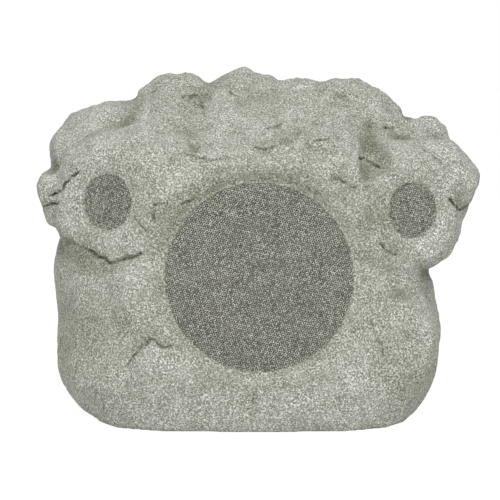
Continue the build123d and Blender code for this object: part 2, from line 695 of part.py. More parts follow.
ledge_outer = SPIDER_RADIUS + RECESS_CLEARANCE
ledge_inner = ledge_outer - SPIDER_LEDGE
floor_outer = FRONT_PLATE_RADIUS
floor_inner = gap_radius + FRAME_FLOOR_MARGIN
with BuildPart() as woofer_frame:
    turn_profile(woofer_seat, [
        (frame_radius, frame_front),
        (roll_outer, frame_front),
        (ledge_outer, spider_seat),
        (ledge_inner, spider_seat),
        (floor_outer - FRAME_WALL, front_plate_front + FRAME_FLOOR),
        (floor_inner, front_plate_front + FRAME_FLOOR),
        (floor_inner, front_plate_front),
        (floor_outer, front_plate_front),
        (ledge_inner + FRAME_FLOOR, spider_seat - FRAME_FLOOR),
        (ledge_outer + FRAME_WALL, spider_seat - FRAME_FLOOR),
        (throat_radius, frame_back),
        (frame_radius, frame_back),
    ])
    window_inner = ledge_outer + FRAME_WALL + FRAME_WINDOW_MARGIN
    window_outer = roll_outer - FRAME_WALL - FRAME_WINDOW_MARGIN
    with BuildSketch(woofer_seat.offset(frame_back)) as windows:
        with PolarLocations((window_inner + window_outer) / 2, FRAME_SPOKES):
            Rectangle(window_outer - window_inner, FRAME_WINDOW_WIDTH)
    extrude(amount=front_plate_front - frame_back, mode=Mode.SUBTRACT)
    drill(woofer_face, woofer_screw_places, screw_hole, FLANGE_THICKNESS)
keep(woofer_frame, "woofer_frame")

roll_crown = SURROUND_WIDTH / 4
with BuildPart() as woofer_surround:
    lip_top = frame_front + SURROUND_THICKNESS
    roll_top = lip_top + SURROUND_RISE
    turn_profile(woofer_seat, [
        (surround_radius, lip_top),
        (roll_outer, lip_top),
        (roll_outer - roll_crown, roll_top),
        (cone_radius + roll_crown, roll_top),
        (cone_radius, lip_top),
        (cone_edge, lip_top),
        (cone_edge, frame_front),
        (cone_radius + SURROUND_THICKNESS, frame_front),
        (cone_radius + roll_crown + SURROUND_THICKNESS, roll_top - SURROUND_THICKNESS),
        (roll_outer - roll_crown - SURROUND_THICKNESS, roll_top - SURROUND_THICKNESS),
        (roll_outer - SURROUND_THICKNESS, frame_front),
        (surround_radius, frame_front),
    ])
keep(woofer_surround, "woofer_surround")

neck_radius = former_radius + GLUE_LINE
with BuildPart() as woofer_cone:
    turn_profile(woofer_seat, [
        (cone_radius, frame_front),
        (cone_edge, frame_front),
        (neck_radius, neck),
        (neck_radius, neck - 2 * CONE_THICKNESS),
        (cone_edge, frame_front - CONE_THICKNESS),
        (cone_radius, frame_front - CONE_THICKNESS),
    ])
keep(woofer_cone, "woofer_cone")

cone_slope = CONE_DEPTH / (cone_edge - neck_radius)
cap_foot = frame_front - (cone_edge - CAP_RADIUS) * cone_slope + GLUE_LINE
cap_top = cap_foot + CAP_RISE
with BuildPart() as woofer_dust_cap:
    turn_profile(woofer_seat, [
        (0, cap_top),
        (CAP_RADIUS - CAP_SLANT, cap_top),
        (CAP_RADIUS, cap_foot),
        (CAP_RADIUS - 2 * CAP_THICKNESS, cap_foot),
        (CAP_RADIUS - CAP_SLANT - CAP_THICKNESS / 2, cap_top - CAP_THICKNESS),
        (0, cap_top - CAP_THICKNESS),
    ])
keep(woofer_dust_cap, "woofer_dust_cap")

winding_middle = (front_plate_front + front_plate_back) / 2
winding_top = winding_middle + WINDING_LENGTH / 2
winding_bottom = winding_middle - WINDING_LENGTH / 2
with BuildPart() as woofer_voice_coil:
    turn_profile(woofer_seat, [
        (COIL_INNER_RADIUS, neck + FORMER_STAND),
        (former_radius, neck + FORMER_STAND),
        (former_radius, winding_top),
        (winding_radius, winding_top),
        (winding_radius, winding_bottom),
        (COIL_INNER_RADIUS, winding_bottom),
    ])
keep(woofer_voice_coil, "woofer_voice_coil")

collar_radius = former_radius + 2 * GLUE_LINE
with BuildPart() as woofer_spider:
    rim_top = spider_seat + SPIDER_THICKNESS
    collar_top = rim_top + SPIDER_RISE
    turn_profile(woofer_seat, [
        (SPIDER_RADIUS, rim_top),
        (SPIDER_RADIUS - SPIDER_RIM, rim_top),
        (collar_radius + SPIDER_COLLAR, collar_top),
        (collar_radius, collar_top),
        (collar_radius, collar_top - SPIDER_THICKNESS),
        (collar_radius + SPIDER_COLLAR, collar_top - SPIDER_THICKNESS),
        (SPIDER_RADIUS - SPIDER_RIM, spider_seat),
        (SPIDER_RADIUS, spider_seat),
    ])
keep(woofer_spider, "woofer_spider")

with BuildPart() as woofer_front_plate:
    turn_profile(woofer_seat, [
        (gap_radius, front_plate_front),
        (FRONT_PLATE_RADIUS, front_plate_front),
        (FRONT_PLATE_RADIUS, front_plate_back),
        (gap_radius, front_plate_back),
    ])
keep(woofer_front_plate, "woofer_front_plate")

with BuildPart() as woofer_magnet:
    turn_profile(woofer_seat, [
        (gap_radius + MAGNET_BORE_MARGIN, front_plate_back),
        (MAGNET_RADIUS, front_plate_back),
        (MAGNET_RADIUS, magnet_back),
        (gap_radius + MAGNET_BORE_MARGIN, magnet_back),
    ])
keep(woofer_magnet, "woofer_magnet")

with BuildPart() as woofer_back_plate:
    turn_profile(woofer_seat, [
        (0, front_plate_front),
        (pole_radius, front_plate_front),
        (pole_radius, magnet_back),
        (BACK_PLATE_RADIUS, magnet_back),
        (BACK_PLATE_RADIUS, motor_back),
        (0, motor_back),
    ])
keep(woofer_back_plate, "woofer_back_plate")

strip_top = spider_seat - FRAME_FLOOR
strip_middle = ledge_outer + FRAME_WALL - TERMINAL_LAP + TERMINAL_LENGTH / 2
with BuildPart() as woofer_terminals:
    with BuildSketch(woofer_seat.offset(strip_top)) as strip:
        with Locations((0, strip_middle)):
            Rectangle(TERMINAL_WIDTH, TERMINAL_LENGTH)
    extrude(amount=-TERMINAL_THICKNESS)
    with BuildSketch(woofer_seat.offset(strip_top - TERMINAL_THICKNESS)) as tags:
        with Locations((0, strip_middle + TERMINAL_LENGTH / 2 - TERMINAL_THICKNESS)):
            with GridLocations(TAG_SPACING, 0, 2, 1):
                Rectangle(TAG_WIDTH, TERMINAL_THICKNESS)
    extrude(amount=-TAG_HEIGHT)
keep(woofer_terminals, "woofer_terminals")

# Tweeters
for side, seat in tweeter_seats.items():
    with BuildPart() as tweeter_grille:
        pierced_cup(
            seat,
            faceplate_radius,
            TWEETER_GRILLE_HEIGHT,
            TWEETER_GRILLE_BORDER,
            TWEETER_GRILLE_PITCH,
            TWEETER_GRILLE_STRAND,
        )
    keep(tweeter_grille, f"{side}_tweeter_grille")

    with BuildPart() as tweeter_faceplate:
        turn_profile(seat, [
            (THROAT_RADIUS + THROAT_FLARE, faceplate_front),
            (faceplate_radius, faceplate_front),
            (faceplate_radius, faceplate_back),
            (THROAT_RADIUS, faceplate_back),
        ])
        tweeter_face = seat.offset(faceplate_front)
        drill(tweeter_face, tweeter_screw_places, small_screw_hole, FACEPLATE_THICKNESS)
    keep(tweeter_faceplate, f"{side}_tweeter_faceplate")

    with BuildPart() as tweeter_screws:
        drive_screws(
            tweeter_face,
            tweeter_screw_places,
            SMALL_SCREW_HEAD_RADIUS,
            SMALL_SCREW_HEAD_HEIGHT,
            SMALL_SCREW_RADIUS,
            tweeter_screw_length,
        )
    keep(tweeter_screws, f"{side}_tweeter_screws")

    with BuildPart() as tweeter_dome:
        half = Plane(origin=seat.origin, x_dir=seat.x_dir, z_dir=seat.y_dir * -1)
        with BuildSketch(half) as dome:
            with BuildLine():
                foot = (DOME_RADIUS, faceplate_back)
                top = (0, faceplate_back + DOME_RISE)
                crown_radius = (DOME_RADIUS**2 + DOME_RISE**2) / (2 * DOME_RISE)
                RadiusArc(foot, top, -crown_radius)
                Polyline(top, (0, faceplate_back), foot)
            make_face()
        revolve(axis=Axis(seat.origin, seat.z_dir))
    keep(tweeter_dome, f"{side}_tweeter_dome")

    with BuildPart() as tweeter_motor:
        turn_profile(seat, [
            (0, faceplate_back),
            (TWEETER_MOTOR_RADIUS, faceplate_back),
            (TWEETER_MOTOR_RADIUS, tweeter_back),
            (0, tweeter_back),
        ])
    keep(tweeter_motor, f"{side}_tweeter_motor")

# Crossover
board_top = plate_top + RIB_HEIGHT + BOARD_THICKNESS
with BuildPart() as crossover_board:
    with BuildSketch(board_place) as panel:
        with Locations((0, BOARD_SETBACK)):
            Rectangle(BOARD_WIDTH, BOARD_LENGTH)
    extrude(amount=BOARD_THICKNESS)
keep(crossover_board, "crossover_board")

with BuildPart() as woofer_choke:
    with BuildSketch(Plane.XY.offset(board_top)) as bobbin:
        with Locations((-CHOKE_OFFSET, BOARD_SETBACK)):
            Circle(CHOKE_RADIUS)
            Circle(CHOKE_BORE_RADIUS, mode=Mode.SUBTRACT)
    extrude(amount=CHOKE_HEIGHT)
keep(woofer_choke, "woofer_choke")

component_rows = {
    "left": BOARD_SETBACK - COMPONENT_SPACING / 2,
    "right": BOARD_SETBACK + COMPONENT_SPACING / 2,
}
for side, row in component_rows.items():
    with BuildPart() as capacitor:
        with BuildSketch(Plane.XY.offset(board_top)) as case:
            with Locations((CAPACITOR_OFFSET, row)):
                Rectangle(CAPACITOR_LENGTH, CAPACITOR_WIDTH)
        extrude(amount=CAPACITOR_HEIGHT)
    keep(capacitor, f"{side}_tweeter_capacitor")

    with BuildPart() as resistor:
        with BuildSketch(Plane.XY.offset(board_top)) as case:
            with Locations((RESISTOR_OFFSET, row)):
                Rectangle(RESISTOR_LENGTH, RESISTOR_WIDTH)
        extrude(amount=RESISTOR_WIDTH)
    keep(resistor, f"{side}_tweeter_resistor")

block_pitch = BLOCK_LENGTH / BLOCK_WAYS
block_row = BOARD_SETBACK - BOARD_LENGTH / 2 + BLOCK_WIDTH / 2
with BuildPart() as terminal_block:
    with BuildSketch(Plane.XY.offset(board_top)) as block:
        with Locations((-CHOKE_OFFSET, block_row)):
            Rectangle(BLOCK_LENGTH, BLOCK_WIDTH)
    extrude(amount=BLOCK_HEIGHT)
    with BuildSketch(Plane.XY.offset(board_top + BLOCK_HEIGHT)) as ways:
        with Locations((-CHOKE_OFFSET, block_row)):
            with GridLocations(block_pitch, 0, BLOCK_WAYS, 1):
                Rectangle(BLOCK_WAY_WIDTH, BLOCK_WAY_WIDTH)
    extrude(amount=-BLOCK_WAY_DEPTH, mode=Mode.SUBTRACT)
keep(terminal_block, "terminal_block")
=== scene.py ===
"""Looks of a rock-shaped garden loudspeaker, built round its packed construction.

Metres, +Z up, the face towards -Y, the ground at zero.
"""
import json
import math
from collections import namedtuple

import bmesh
import bpy
import numpy as np
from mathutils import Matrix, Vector, noise
from mathutils.bvhtree import BVHTree


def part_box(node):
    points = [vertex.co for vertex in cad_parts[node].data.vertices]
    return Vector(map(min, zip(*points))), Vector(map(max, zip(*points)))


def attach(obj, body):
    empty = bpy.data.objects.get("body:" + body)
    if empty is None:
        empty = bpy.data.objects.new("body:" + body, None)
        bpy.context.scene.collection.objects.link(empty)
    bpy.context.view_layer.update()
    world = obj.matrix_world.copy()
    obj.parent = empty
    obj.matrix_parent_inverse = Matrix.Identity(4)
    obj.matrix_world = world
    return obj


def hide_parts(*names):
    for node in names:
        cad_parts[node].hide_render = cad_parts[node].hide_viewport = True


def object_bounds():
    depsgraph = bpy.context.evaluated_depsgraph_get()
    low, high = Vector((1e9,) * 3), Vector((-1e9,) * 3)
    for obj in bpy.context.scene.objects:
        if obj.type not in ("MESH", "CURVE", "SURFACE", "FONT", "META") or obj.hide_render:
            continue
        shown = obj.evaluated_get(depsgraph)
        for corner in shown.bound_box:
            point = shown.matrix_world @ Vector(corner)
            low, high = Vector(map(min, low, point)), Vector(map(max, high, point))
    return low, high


NOISE_SEED = 1
noise.seed_set(NOISE_SEED)

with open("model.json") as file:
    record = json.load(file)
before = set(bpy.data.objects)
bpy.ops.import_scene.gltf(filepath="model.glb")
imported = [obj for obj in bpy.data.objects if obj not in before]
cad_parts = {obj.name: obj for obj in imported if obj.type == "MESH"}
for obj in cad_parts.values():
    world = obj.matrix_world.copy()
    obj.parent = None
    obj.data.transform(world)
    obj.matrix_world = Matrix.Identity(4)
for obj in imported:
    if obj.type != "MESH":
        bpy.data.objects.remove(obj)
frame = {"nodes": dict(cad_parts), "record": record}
cad_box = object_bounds()
nodes = frame["nodes"]
slot_of = {part["node"]: part["material_slot"] for part in frame["record"]["subparts"]}
slot_colour = {entry["slot"]: entry["base_color"] for entry in frame["record"]["materials"]}

# Camera: the photograph's view
PHOTO_SIZE = 500
CAMERA_TARGET = np.array([-0.0095, 0.0, 0.1647])
CAMERA_ELEVATION = math.radians(8.0)
CAMERA_DISTANCE = 2.1
FRAME_WIDTH = 0.5568  # across the picture, at the target
SENSOR_WIDTH = 36.0
PIXEL = FRAME_WIDTH / PHOTO_SIZE

camera_back = np.array([0.0, -math.cos(CAMERA_ELEVATION), math.sin(CAMERA_ELEVATION)])
camera_up = np.array([0.0, math.sin(CAMERA_ELEVATION), math.cos(CAMERA_ELEVATION)])
camera_place = CAMERA_TARGET + CAMERA_DISTANCE * camera_back

# Noise has bumps of a given size, a seed and octaves. A relief is noise with a height.
Bumps = namedtuple("Bumps", "size seed octaves", defaults=(1,))
Relief = namedtuple("Relief", "height bumps")
FIELD_SHIFT = 13.7  # from one seed's noise to the next
FRACTAL_FALL = 1.0
FRACTAL_STEP = 2.0
CHIP_SHIFT = 7.9
TILT_SCALE = 5.3

# In what follows, a pair of numbers holds the ends of a smooth rise.

# Boulder
ROCK_VOXEL = 0.0033
ROCK_SHARP = math.radians(50)
HOLLOW_KEPT = 0.08  # share of the hollow side's faces that stays
SOFTEN_STEPS = 22
SOFTEN_FILL = 0.45  # pull towards the neighbours in a dent
SOFTEN_WEAR = 0.12  # pull towards the neighbours on a ridge
EDGES_KEPT = 0.85  # on the crown
APRON_WIDTH = 0.024  # band round the woofer's grille that keeps its shape
APRON_FREEDOM = 0.35
FOOT_HEIGHT = 0.006  # rock that stays flat where it meets the ground
LEAST_LENGTH = 1e-12

# Rays that find a way out of the boulder
RAY_COUNT = 9
RAY_LEAN = 0.6
RAY_START = 1e-4

# Recesses of the drivers, the cable entry and the base plate
FACING_LEAST = 0.5  # cosine between a seat's face and the way that it looks
FACING_DIGITS = 2
PLUG_OVERLAP = 0.001
RECESS_CLEARANCE = 0.0005
LIP_STEP = 0.0025  # rock that stands in front of the woofer's grille
LIP_CLEARANCE = 0.0001  # the coated lip stands closer round a grille than the recess behind it
LIP_DEPTH = 0.003
LIP_FACE = 0.0008  # the lip's front over the grille's face
LIP_BAND = 0.009  # rock beside a grille that comes level with it
LIP_GAP = 0.0002
# share of the painted shade on the walls of the recesses round the grilles
LIP_PAINTED_SHADE = 0.6
LIP_ROUGHNESS = Relief(0.0004, Bumps(0.006, 9))
LIP_OVERLAP = Relief(0.0011, Bumps(0.006, 10, 2))  # the coat's ragged edge over the grille's rim
OVERLAP_RISE = (-0.5, 0.5)
CUT_REACH = 0.06
CUT_STEPS = 300
GROMMET_FLANGE = 0.0025  # thickness of the flange that lies on the rock
SPOT_MARGIN = 0.002  # flat rock round the flange
OUTLINE_SHARE = 0.64  # the base plate's outline lies past this share of its reach
OUTLINE_DIGITS = 3

# Relief of the rock
SWELL = Relief(0.0015, Bumps(0.08, 1, 3))
CHIP = Relief(0.004, Bumps(0.03, 2))
CRUMB = Relief(0.0018, Bumps(0.016, 3, 2))
GRAIN = Relief(0.0008, Bumps(0.008, 4))
SLAB = Relief(0.008, Bumps(0.07, 11))  # broad flat breaks on the back
SLAB_MOST = 0.32
SLAB_SINK = 0.0012
PATCH = Bumps(0.09, 5)  # patches of stronger and weaker chips
PATCH_RISE = (-0.25, 0.35)
PATCH_LEAST = 0.4
CROWN_RISE = (0.17, 0.25)  # the rock is smoother below these heights
CRAG_LEAST = 0.22
CRAG_BACK = 0.85  # the back is rougher than the face
BACK_RISE = (0.0, 0.12)
MARK_SEEN = (-0.3, 0.1)  # cosines between the rock's face and the way to the camera
MARK_SWAY = 2.2  # pixels that marks wander off their routes
SWAY_ACROSS = Bumps(0.007, 6)
SWAY_UP = Bumps(0.007, 7)

# Painted shade in the rock's hollows: their width and the softness of the painted shade's edge, in
# smoothing steps, and the depths where the painted shade starts and where it is full
Hollow = namedtuple("Hollow", "width edge start full")
CAVITY = Hollow(12, 2, 0.0002, 0.0018)
BASIN = Hollow(180, 14, -0.001, 0.006)
APRON_PAINTED_SHADE = 0.30  # share of the painted shade in the dished band beside the woofer's grille
# cosines between the rock's face and the way to the camera, over which the painted shade of the washes and
# cracks comes in
PAINTED_SHADE_FACING = (0.0, 0.4)

# Cracks and ledges
CRACK_WIDTH = 0.0040  # grooves that are narrower than this get a finer mesh
CRACK_BANDS = (0.0048, 0.0032)  # reach of each finer step
CRACK_DEEP = 0.0030  # a crack this deep has the full painted shade
LEDGE_FADE = (0.0, 0.2)  # shares of a ledge's length, from each of its ends
BREAK = Bumps(0.007, 8)
BREAK_RISE = (-0.25, 0.25)
BREAK_LEAST = 0.45

# Marks on the boulder, placed by pixels of the photograph. Depths and widths are in metres.
# A groove's lean widens it on the right-hand side of its route, and makes it a ledge. Its coat is the share
# of the painted shade along it.
Groove = namedtuple("Groove", "route depth width lean coat", defaults=(1.0, 1.0))
Dent = namedtuple("Dent", "place reach depth")
GROOVES = {
    "left cheek, lower crack": Groove([(40, 208), (45, 206), (51, 205), (58, 203)], 0.004, 0.0013),
    "left cheek, upper crack": Groove(
        [(77, 172), (71, 178), (65, 182), (63, 189), (57, 193), (49, 197)], 0.0038, 0.0013
    ),
    "under the left shoulder": Groove(
        [(54, 229), (63, 238), (76, 245), (91, 251), (100, 257), (108, 262), (120, 260), (131, 257),
         (147, 250)],
        0.0034, 0.0016, 4.0, 0.4,
    ),
    "left shoulder edge, outer": Groove([(89, 250), (95, 253)], 0.003, 0.0013),
    "left shoulder edge, middle": Groove([(100, 257), (109, 262)], 0.0034, 0.0014),
    "left shoulder edge, inner": Groove([(117, 261), (129, 258), (141, 254)], 0.0024, 0.0012),
    "beside the left grille, upright": Groove([(154, 206), (154, 221)], 0.0022, 0.0012),
    "beside the left grille, level": Groove([(153, 205), (168, 204)], 0.0022, 0.0012),
    "below the left grille": Groove([(134, 217), (140, 224), (145, 231)], 0.0018, 0.0012),
    "brow ledge": Groove(
        [(187, 155), (198, 158), (212, 159), (228, 157), (237, 159)], 0.0026, 0.0013, 3.0, 0.7
    ),
    "woofer lip notch": Groove([(184, 203), (193, 199)], 0.0024, 0.0013),
    "crown hollow, level": Groove([(184, 97), (197, 96), (209, 98)], 0.0022, 0.0018),
    "crown hollow, upright": Groove([(199, 98), (204, 115)], 0.0022, 0.0016),
    "peak crack": Groove([(230, 93), (235, 96)], 0.003, 0.0014),
    "right brow ledge": Groove([(311, 141), (318, 139), (331, 139)], 0.0028, 0.0013, 2.0, 0.8),
    "middle brow ledge": Groove([(253, 146), (262, 150), (269, 148), (276, 146)], 0.003, 0.0014, 2.5),
    "upper brow ledge": Groove([(268, 128), (281, 124)], 0.003, 0.0014, 2.0),
    "right crown notch": Groove([(386, 128), (394, 130)], 0.0036, 0.0014),
    "right gully, ledge": Groove([(360, 158), (368, 160), (373, 164), (381, 169)], 0.0036, 0.0014),
    "right of the woofer, upper": Groove([(337, 180), (346, 182)], 0.0022, 0.0013),
    "right of the woofer, lower": Groove([(346, 187), (355, 188)], 0.0022, 0.0013),
    "right cheek crack": Groove([(450, 199), (456, 206), (462, 211), (469, 204)], 0.004, 0.0014),
    "under the right shoulder": Groove([(382, 246), (391, 254), (415, 262), (431, 274)], 0.003, 0.006),
    "right shoulder edge": Groove([(382, 245), (390, 252), (396, 255)], 0.0026, 0.0013),
    "lower left ledge": Groove(
        [(180, 347), (170, 346), (164, 347), (158, 344), (154, 339), (150, 340), (145, 346), (139, 350),
         (133, 357), (128, 365)],
        0.003, 0.0013, 5.0,
    ),
    "lower right crease": Groove([(370, 298), (374, 322), (380, 341), (384, 356)], 0.0012, 0.0055),
    "lower right crack, upper": Groove([(370, 318), (373, 328)], 0.0014, 0.0013),
    "lower right crack, lower": Groove([(378, 338), (381, 346), (384, 355)], 0.0018, 0.0013),
    "foot crack": Groove([(252, 402), (254, 396), (257, 389)], 0.0014, 0.0013),
    "ridge left of the bulge": Groove([(117, 262), (115, 288), (120, 320)], -0.003, 0.0045),
    "right crown crack": Groove([(425, 150), (433, 156), (441, 163)], 0.002, 0.0013),
}
DENTS = {
    "left crown pit": Dent((152, 87), 0.007, 0.0034),
    "right crown pit": Dent((332, 100), 0.0055, 0.0028),
    "right crown hollow": Dent((391, 106), 0.011, 0.004),
    "left slab corner": Dent((66, 128), 0.012, 0.0035),
    "left waist": Dent((58, 316), 0.018, 0.0035),
    "left flank": Dent((57, 262), 0.026, -0.003),
    "behind the peak": Dent((276, 82), 0.017, -0.0045),
    "right crown flank": Dent((402, 107), 0.013, -0.0025),
    "right waist": Dent((408, 281), 0.018, -0.006),
    "right crown spot": Dent((341, 94), 0.0045, 0.0026),
    "brow spot": Dent((262, 144), 0.004, 0.0022),
    "right slope of the peak": Dent((254, 72), 0.009, 0.0026),
    "dip in the right crown": Dent((321, 79), 0.008, 0.0032),
    "lower left flank": Dent((59, 365), 0.03, -0.002),
}

# Places where the foot's corners are drawn in
CORNERS = {
    "lower left": Dent((84, 420), 0.024, 0.01),
    "lower right": Dent((420, 418), 0.022, 0.005),
}

# Painted shade over wider places, in hollows and under overhangs, with its share of the full colour
PaintedShade = namedtuple("PaintedShade", "place reach share")
PAINTED_SHADES = {
    "left cove, outer": PaintedShade((64, 248), 0.016, 0.8),
    "left cove, middle": PaintedShade((86, 259), 0.015, 0.9),
    "left cove, inner": PaintedShade((106, 267), 0.012, 0.8),
    "left flank": PaintedShade((88, 335), 0.055, 0.55),
    "left crown hollow": PaintedShade((197, 97), 0.012, 0.7),
    "right of the peak": PaintedShade((252, 98), 0.011, 0.35),
    "right crown hollow": PaintedShade((337, 97), 0.01, 0.4),
    "middle of the brow": PaintedShade((264, 149), 0.008, 0.5),
    "under the brow ledge": PaintedShade((203, 163), 0.009, 0.45),
    "left of the brow ledge": PaintedShade((172, 161), 0.008, 0.35),
    "right gully, upper": PaintedShade((384, 127), 0.008, 0.5),
    "right gully, lower": PaintedShade((373, 172), 0.014, 0.6),
    "beside the left grille": PaintedShade((157, 220), 0.022, 0.65),
    "left of the woofer": PaintedShade((167, 250), 0.013, 0.55),
    "beside the right grille": PaintedShade((374, 222), 0.026, 0.65),
    "under the right grille": PaintedShade((396, 250), 0.014, 0.5),
    "right cheek": PaintedShade((460, 205), 0.009, 0.6),
    "right flank": PaintedShade((395, 320), 0.03, 0.3),
    "lower right flank": PaintedShade((408, 370), 0.036, 0.45),
    "low on the left shoulder": PaintedShade((88, 235), 0.018, 0.5),
}

SQUARE = ((-1, -1), (1, -1), (1, 1), (-1, 1))  # corners, in order
Seat = namedtuple("Seat", "origin across up out")
Span = namedtuple("Span", "inner outer back")


def smooth_step(low, high, values):
    """Smooth rise from 0 at low to 1 at high."""
    share = np.clip((values - low) / (high - low), 0.0, 1.0)
    return share * share * (3.0 - 2.0 * share)


def read_rows(items, name, width, kind=np.float32):
    """What a mesh's items hold under a name, as rows."""
    flat = np.empty(width * len(items), kind)
    items.foreach_get(name, flat)
    return flat.reshape(-1, width)


def mesh_points(mesh):
    """Vertices of a mesh as rows."""
    return read_rows(mesh.vertices, "co", 3).astype(float)


def move_points(mesh, points):
    """Put the vertices of a mesh at new places."""
    mesh.vertices.foreach_set("co", points.astype(np.float32).ravel())


def seat_on(name, towards):
    """Seat on the main flat face of a round node: its middle, and its own three directions."""
    mesh = nodes[name].data
    normals = read_rows(mesh.polygons, "normal", 3).astype(float)
    areas = read_rows(mesh.polygons, "area", 1).ravel()
    faces = np.flatnonzero(normals @ np.array(towards) > FACING_LEAST)
    _, group = np.unique(normals[faces].round(FACING_DIGITS), axis=0, return_inverse=True)
    group = group.ravel()
    main = np.argmax(np.bincount(group, areas[faces]))
    out = normals[faces[group == main]].mean(axis=0)
    out /= np.linalg.norm(out)
    across = np.cross((0.0, 0.0, 1.0), out)
    across /= np.linalg.norm(across)
    up = np.cross(out, across)
    points = mesh_points(mesh)
    origin = np.zeros(3)
    for axis in (across, up):
        reach = points @ axis
        origin += axis * (reach.max() + reach.min()) / 2
    origin += out * (points @ out).max()
    return Seat(origin, across, up, out)


def about(points, seat):
    """Distances of places from a seat's axis, and their heights over the seat."""
    offset = points - seat.origin
    return np.hypot(offset @ seat.across, offset @ seat.up), offset @ seat.out


def span_of(name, seat):
    """Radii that a node takes about a seat's axis, and the height of its back."""
    radius, height = about(mesh_points(nodes[name].data), seat)
    return Span(radius.min(), radius.max(), height.min())


def from_seat(seat, across, up, out):
    """Places given along a seat's directions, as rows."""
    steps = np.broadcast_arrays(across, up, out)
    place = seat.origin
    for step, direction in zip(steps, (seat.across, seat.up, seat.out)):
        place = place + step[..., None] * direction
    return place


def ring_about(seat, radius, height, steps):
    """Places on a circle about a seat's axis, as rows."""
    angles = 2 * math.pi * np.arange(steps) / steps
    return from_seat(seat, radius * np.cos(angles), radius * np.sin(angles), height)


def linked(name, data):
    """Object in the scene for a mesh, a lamp or a camera."""
    piece = bpy.data.objects.new(name, data)
    bpy.context.scene.collection.objects.link(piece)
    return piece


def new_mesh(name, points, faces):
    """Mesh from places and rows of their numbers."""
    mesh = bpy.data.meshes.new(name)
    mesh.from_pydata([tuple(point) for point in points], [], faces)
    mesh.validate()
    return mesh


def merged(name, meshes, outward=False):
    """One mesh from several, with its faces turned outward if asked."""
    shape = bmesh.new()
    for mesh in meshes:
        shape.from_mesh(mesh)
    if outward:
        bmesh.ops.recalc_face_normals(shape, faces=shape.faces)
    whole = bpy.data.meshes.new(name)
    shape.to_mesh(whole)
    shape.free()
    return whole


def applied(piece):
    """Mesh of an object with its modifiers applied."""
    bpy.context.view_layer.update()
    depsgraph = bpy.context.evaluated_depsgraph_get()
    return bpy.data.meshes.new_from_object(piece.evaluated_get(depsgraph))


def discard(*pieces):
    """Remove helper objects."""
    for piece in pieces:
        bpy.data.objects.remove(piece)


def turned(name, seat, profile):
    """Mesh turned about a seat's axis from (radius, height) points that start and end on the axis."""
    steps = CUT_STEPS
    inner = profile[1:-1]
    points = [from_seat(seat, 0.0, 0.0, profile[0][1])[None, :]]
    points += [ring_about(seat, radius, height, steps) for radius, height in inner]
    points.append(from_seat(seat, 0.0, 0.0, profile[-1][1])[None, :])
    points = np.concatenate(points)
    last = len(points) - 1
    faces = []
    for step in range(steps):
        after = (step + 1) % steps
        faces.append((0, 1 + step, 1 + after))
        for ring in range(len(inner) - 1):
            here = 1 + ring * steps
            faces.append((here + step, here + steps + step, here + steps + after, here + after))
        here = 1 + (len(inner) - 1) * steps
        faces.append((here + step, last, here + after))
    return merged(name, [new_mesh(name, points, faces)], outward=True)


# Places of the drivers, from their grilles
FACING = (0.0, -1.0, 0.0)
BACKWARD = (0.0, 1.0, 0.0)
DRIVERS = ("woofer", "left_tweeter", "right_tweeter")
seats = {driver: seat_on(f"{driver}_grille", FACING) for driver in DRIVERS}
grommet_seat = seat_on("cable_grommet", BACKWARD)


def recess_of(driver):
    """Opening radius, ledge height and bore radius of a driver's recess in the rock."""
    seat = seats[driver]
    opening = span_of(f"{driver}_grille", seat).outer + RECESS_CLEARANCE
    if driver == "woofer":
        gasket = span_of("woofer_gasket", seat)
        return opening, gasket.back, gasket.inner
    ledge = span_of(f"{driver}_faceplate", seat).back
    bore = span_of(f"{driver}_motor", seat).outer + RECESS_CLEARANCE
    return opening, ledge, bore


def recess_plug(driver):
    """Mesh that fills a driver's recess up to the rock's face."""
    opening, ledge, _ = recess_of(driver)
    front = LIP_STEP if driver == "woofer" else 0.0
    radius = opening + PLUG_OVERLAP
    profile = [(0, front), (radius, front), (radius, ledge), (0, ledge)]
    return turned(f"{driver}_plug", seats[driver], profile)


def recess_cutter(driver):
    """Mesh that cuts a driver's recess and the bore behind it."""
    opening, ledge, bore = recess_of(driver)
    lip = opening - RECESS_CLEARANCE + LIP_CLEARANCE
    edge = ring_about(seats[driver], lip, 0.0, CUT_STEPS)
    ragged = lip - LIP_OVERLAP.height * smooth_step(*OVERLAP_RISE, field(edge, LIP_OVERLAP.bumps))
    profile = [
        (0, CUT_REACH),
        (ragged, CUT_REACH),
        (ragged, LIP_GAP),
        (lip, LIP_GAP),
        (lip, -LIP_DEPTH),
        (opening, -LIP_DEPTH),
        (opening, ledge),
        (bore, ledge),
        (bore, ledge - CUT_REACH),
        (0, ledge - CUT_REACH),
    ]
    return turned(f"{driver}_cutter", seats[driver], profile)


def grommet_cutter():
    """Mesh that cuts the flat seat and the bore of the cable entry into the rock's back."""
    radius, height = about(mesh_points(nodes["cable_grommet"].data), grommet_seat)
    bore = radius[height < height.min() / 2].max() + RECESS_CLEARANCE
    flat = radius.max() + SPOT_MARGIN
    profile = [
        (0, CUT_REACH),
        (flat, CUT_REACH),
        (flat, -GROMMET_FLANGE),
        (bore, -GROMMET_FLANGE),
        (bore, -CUT_REACH),
        (0, -CUT_REACH),
    ]
    return turned("grommet_cutter", grommet_seat, profile)


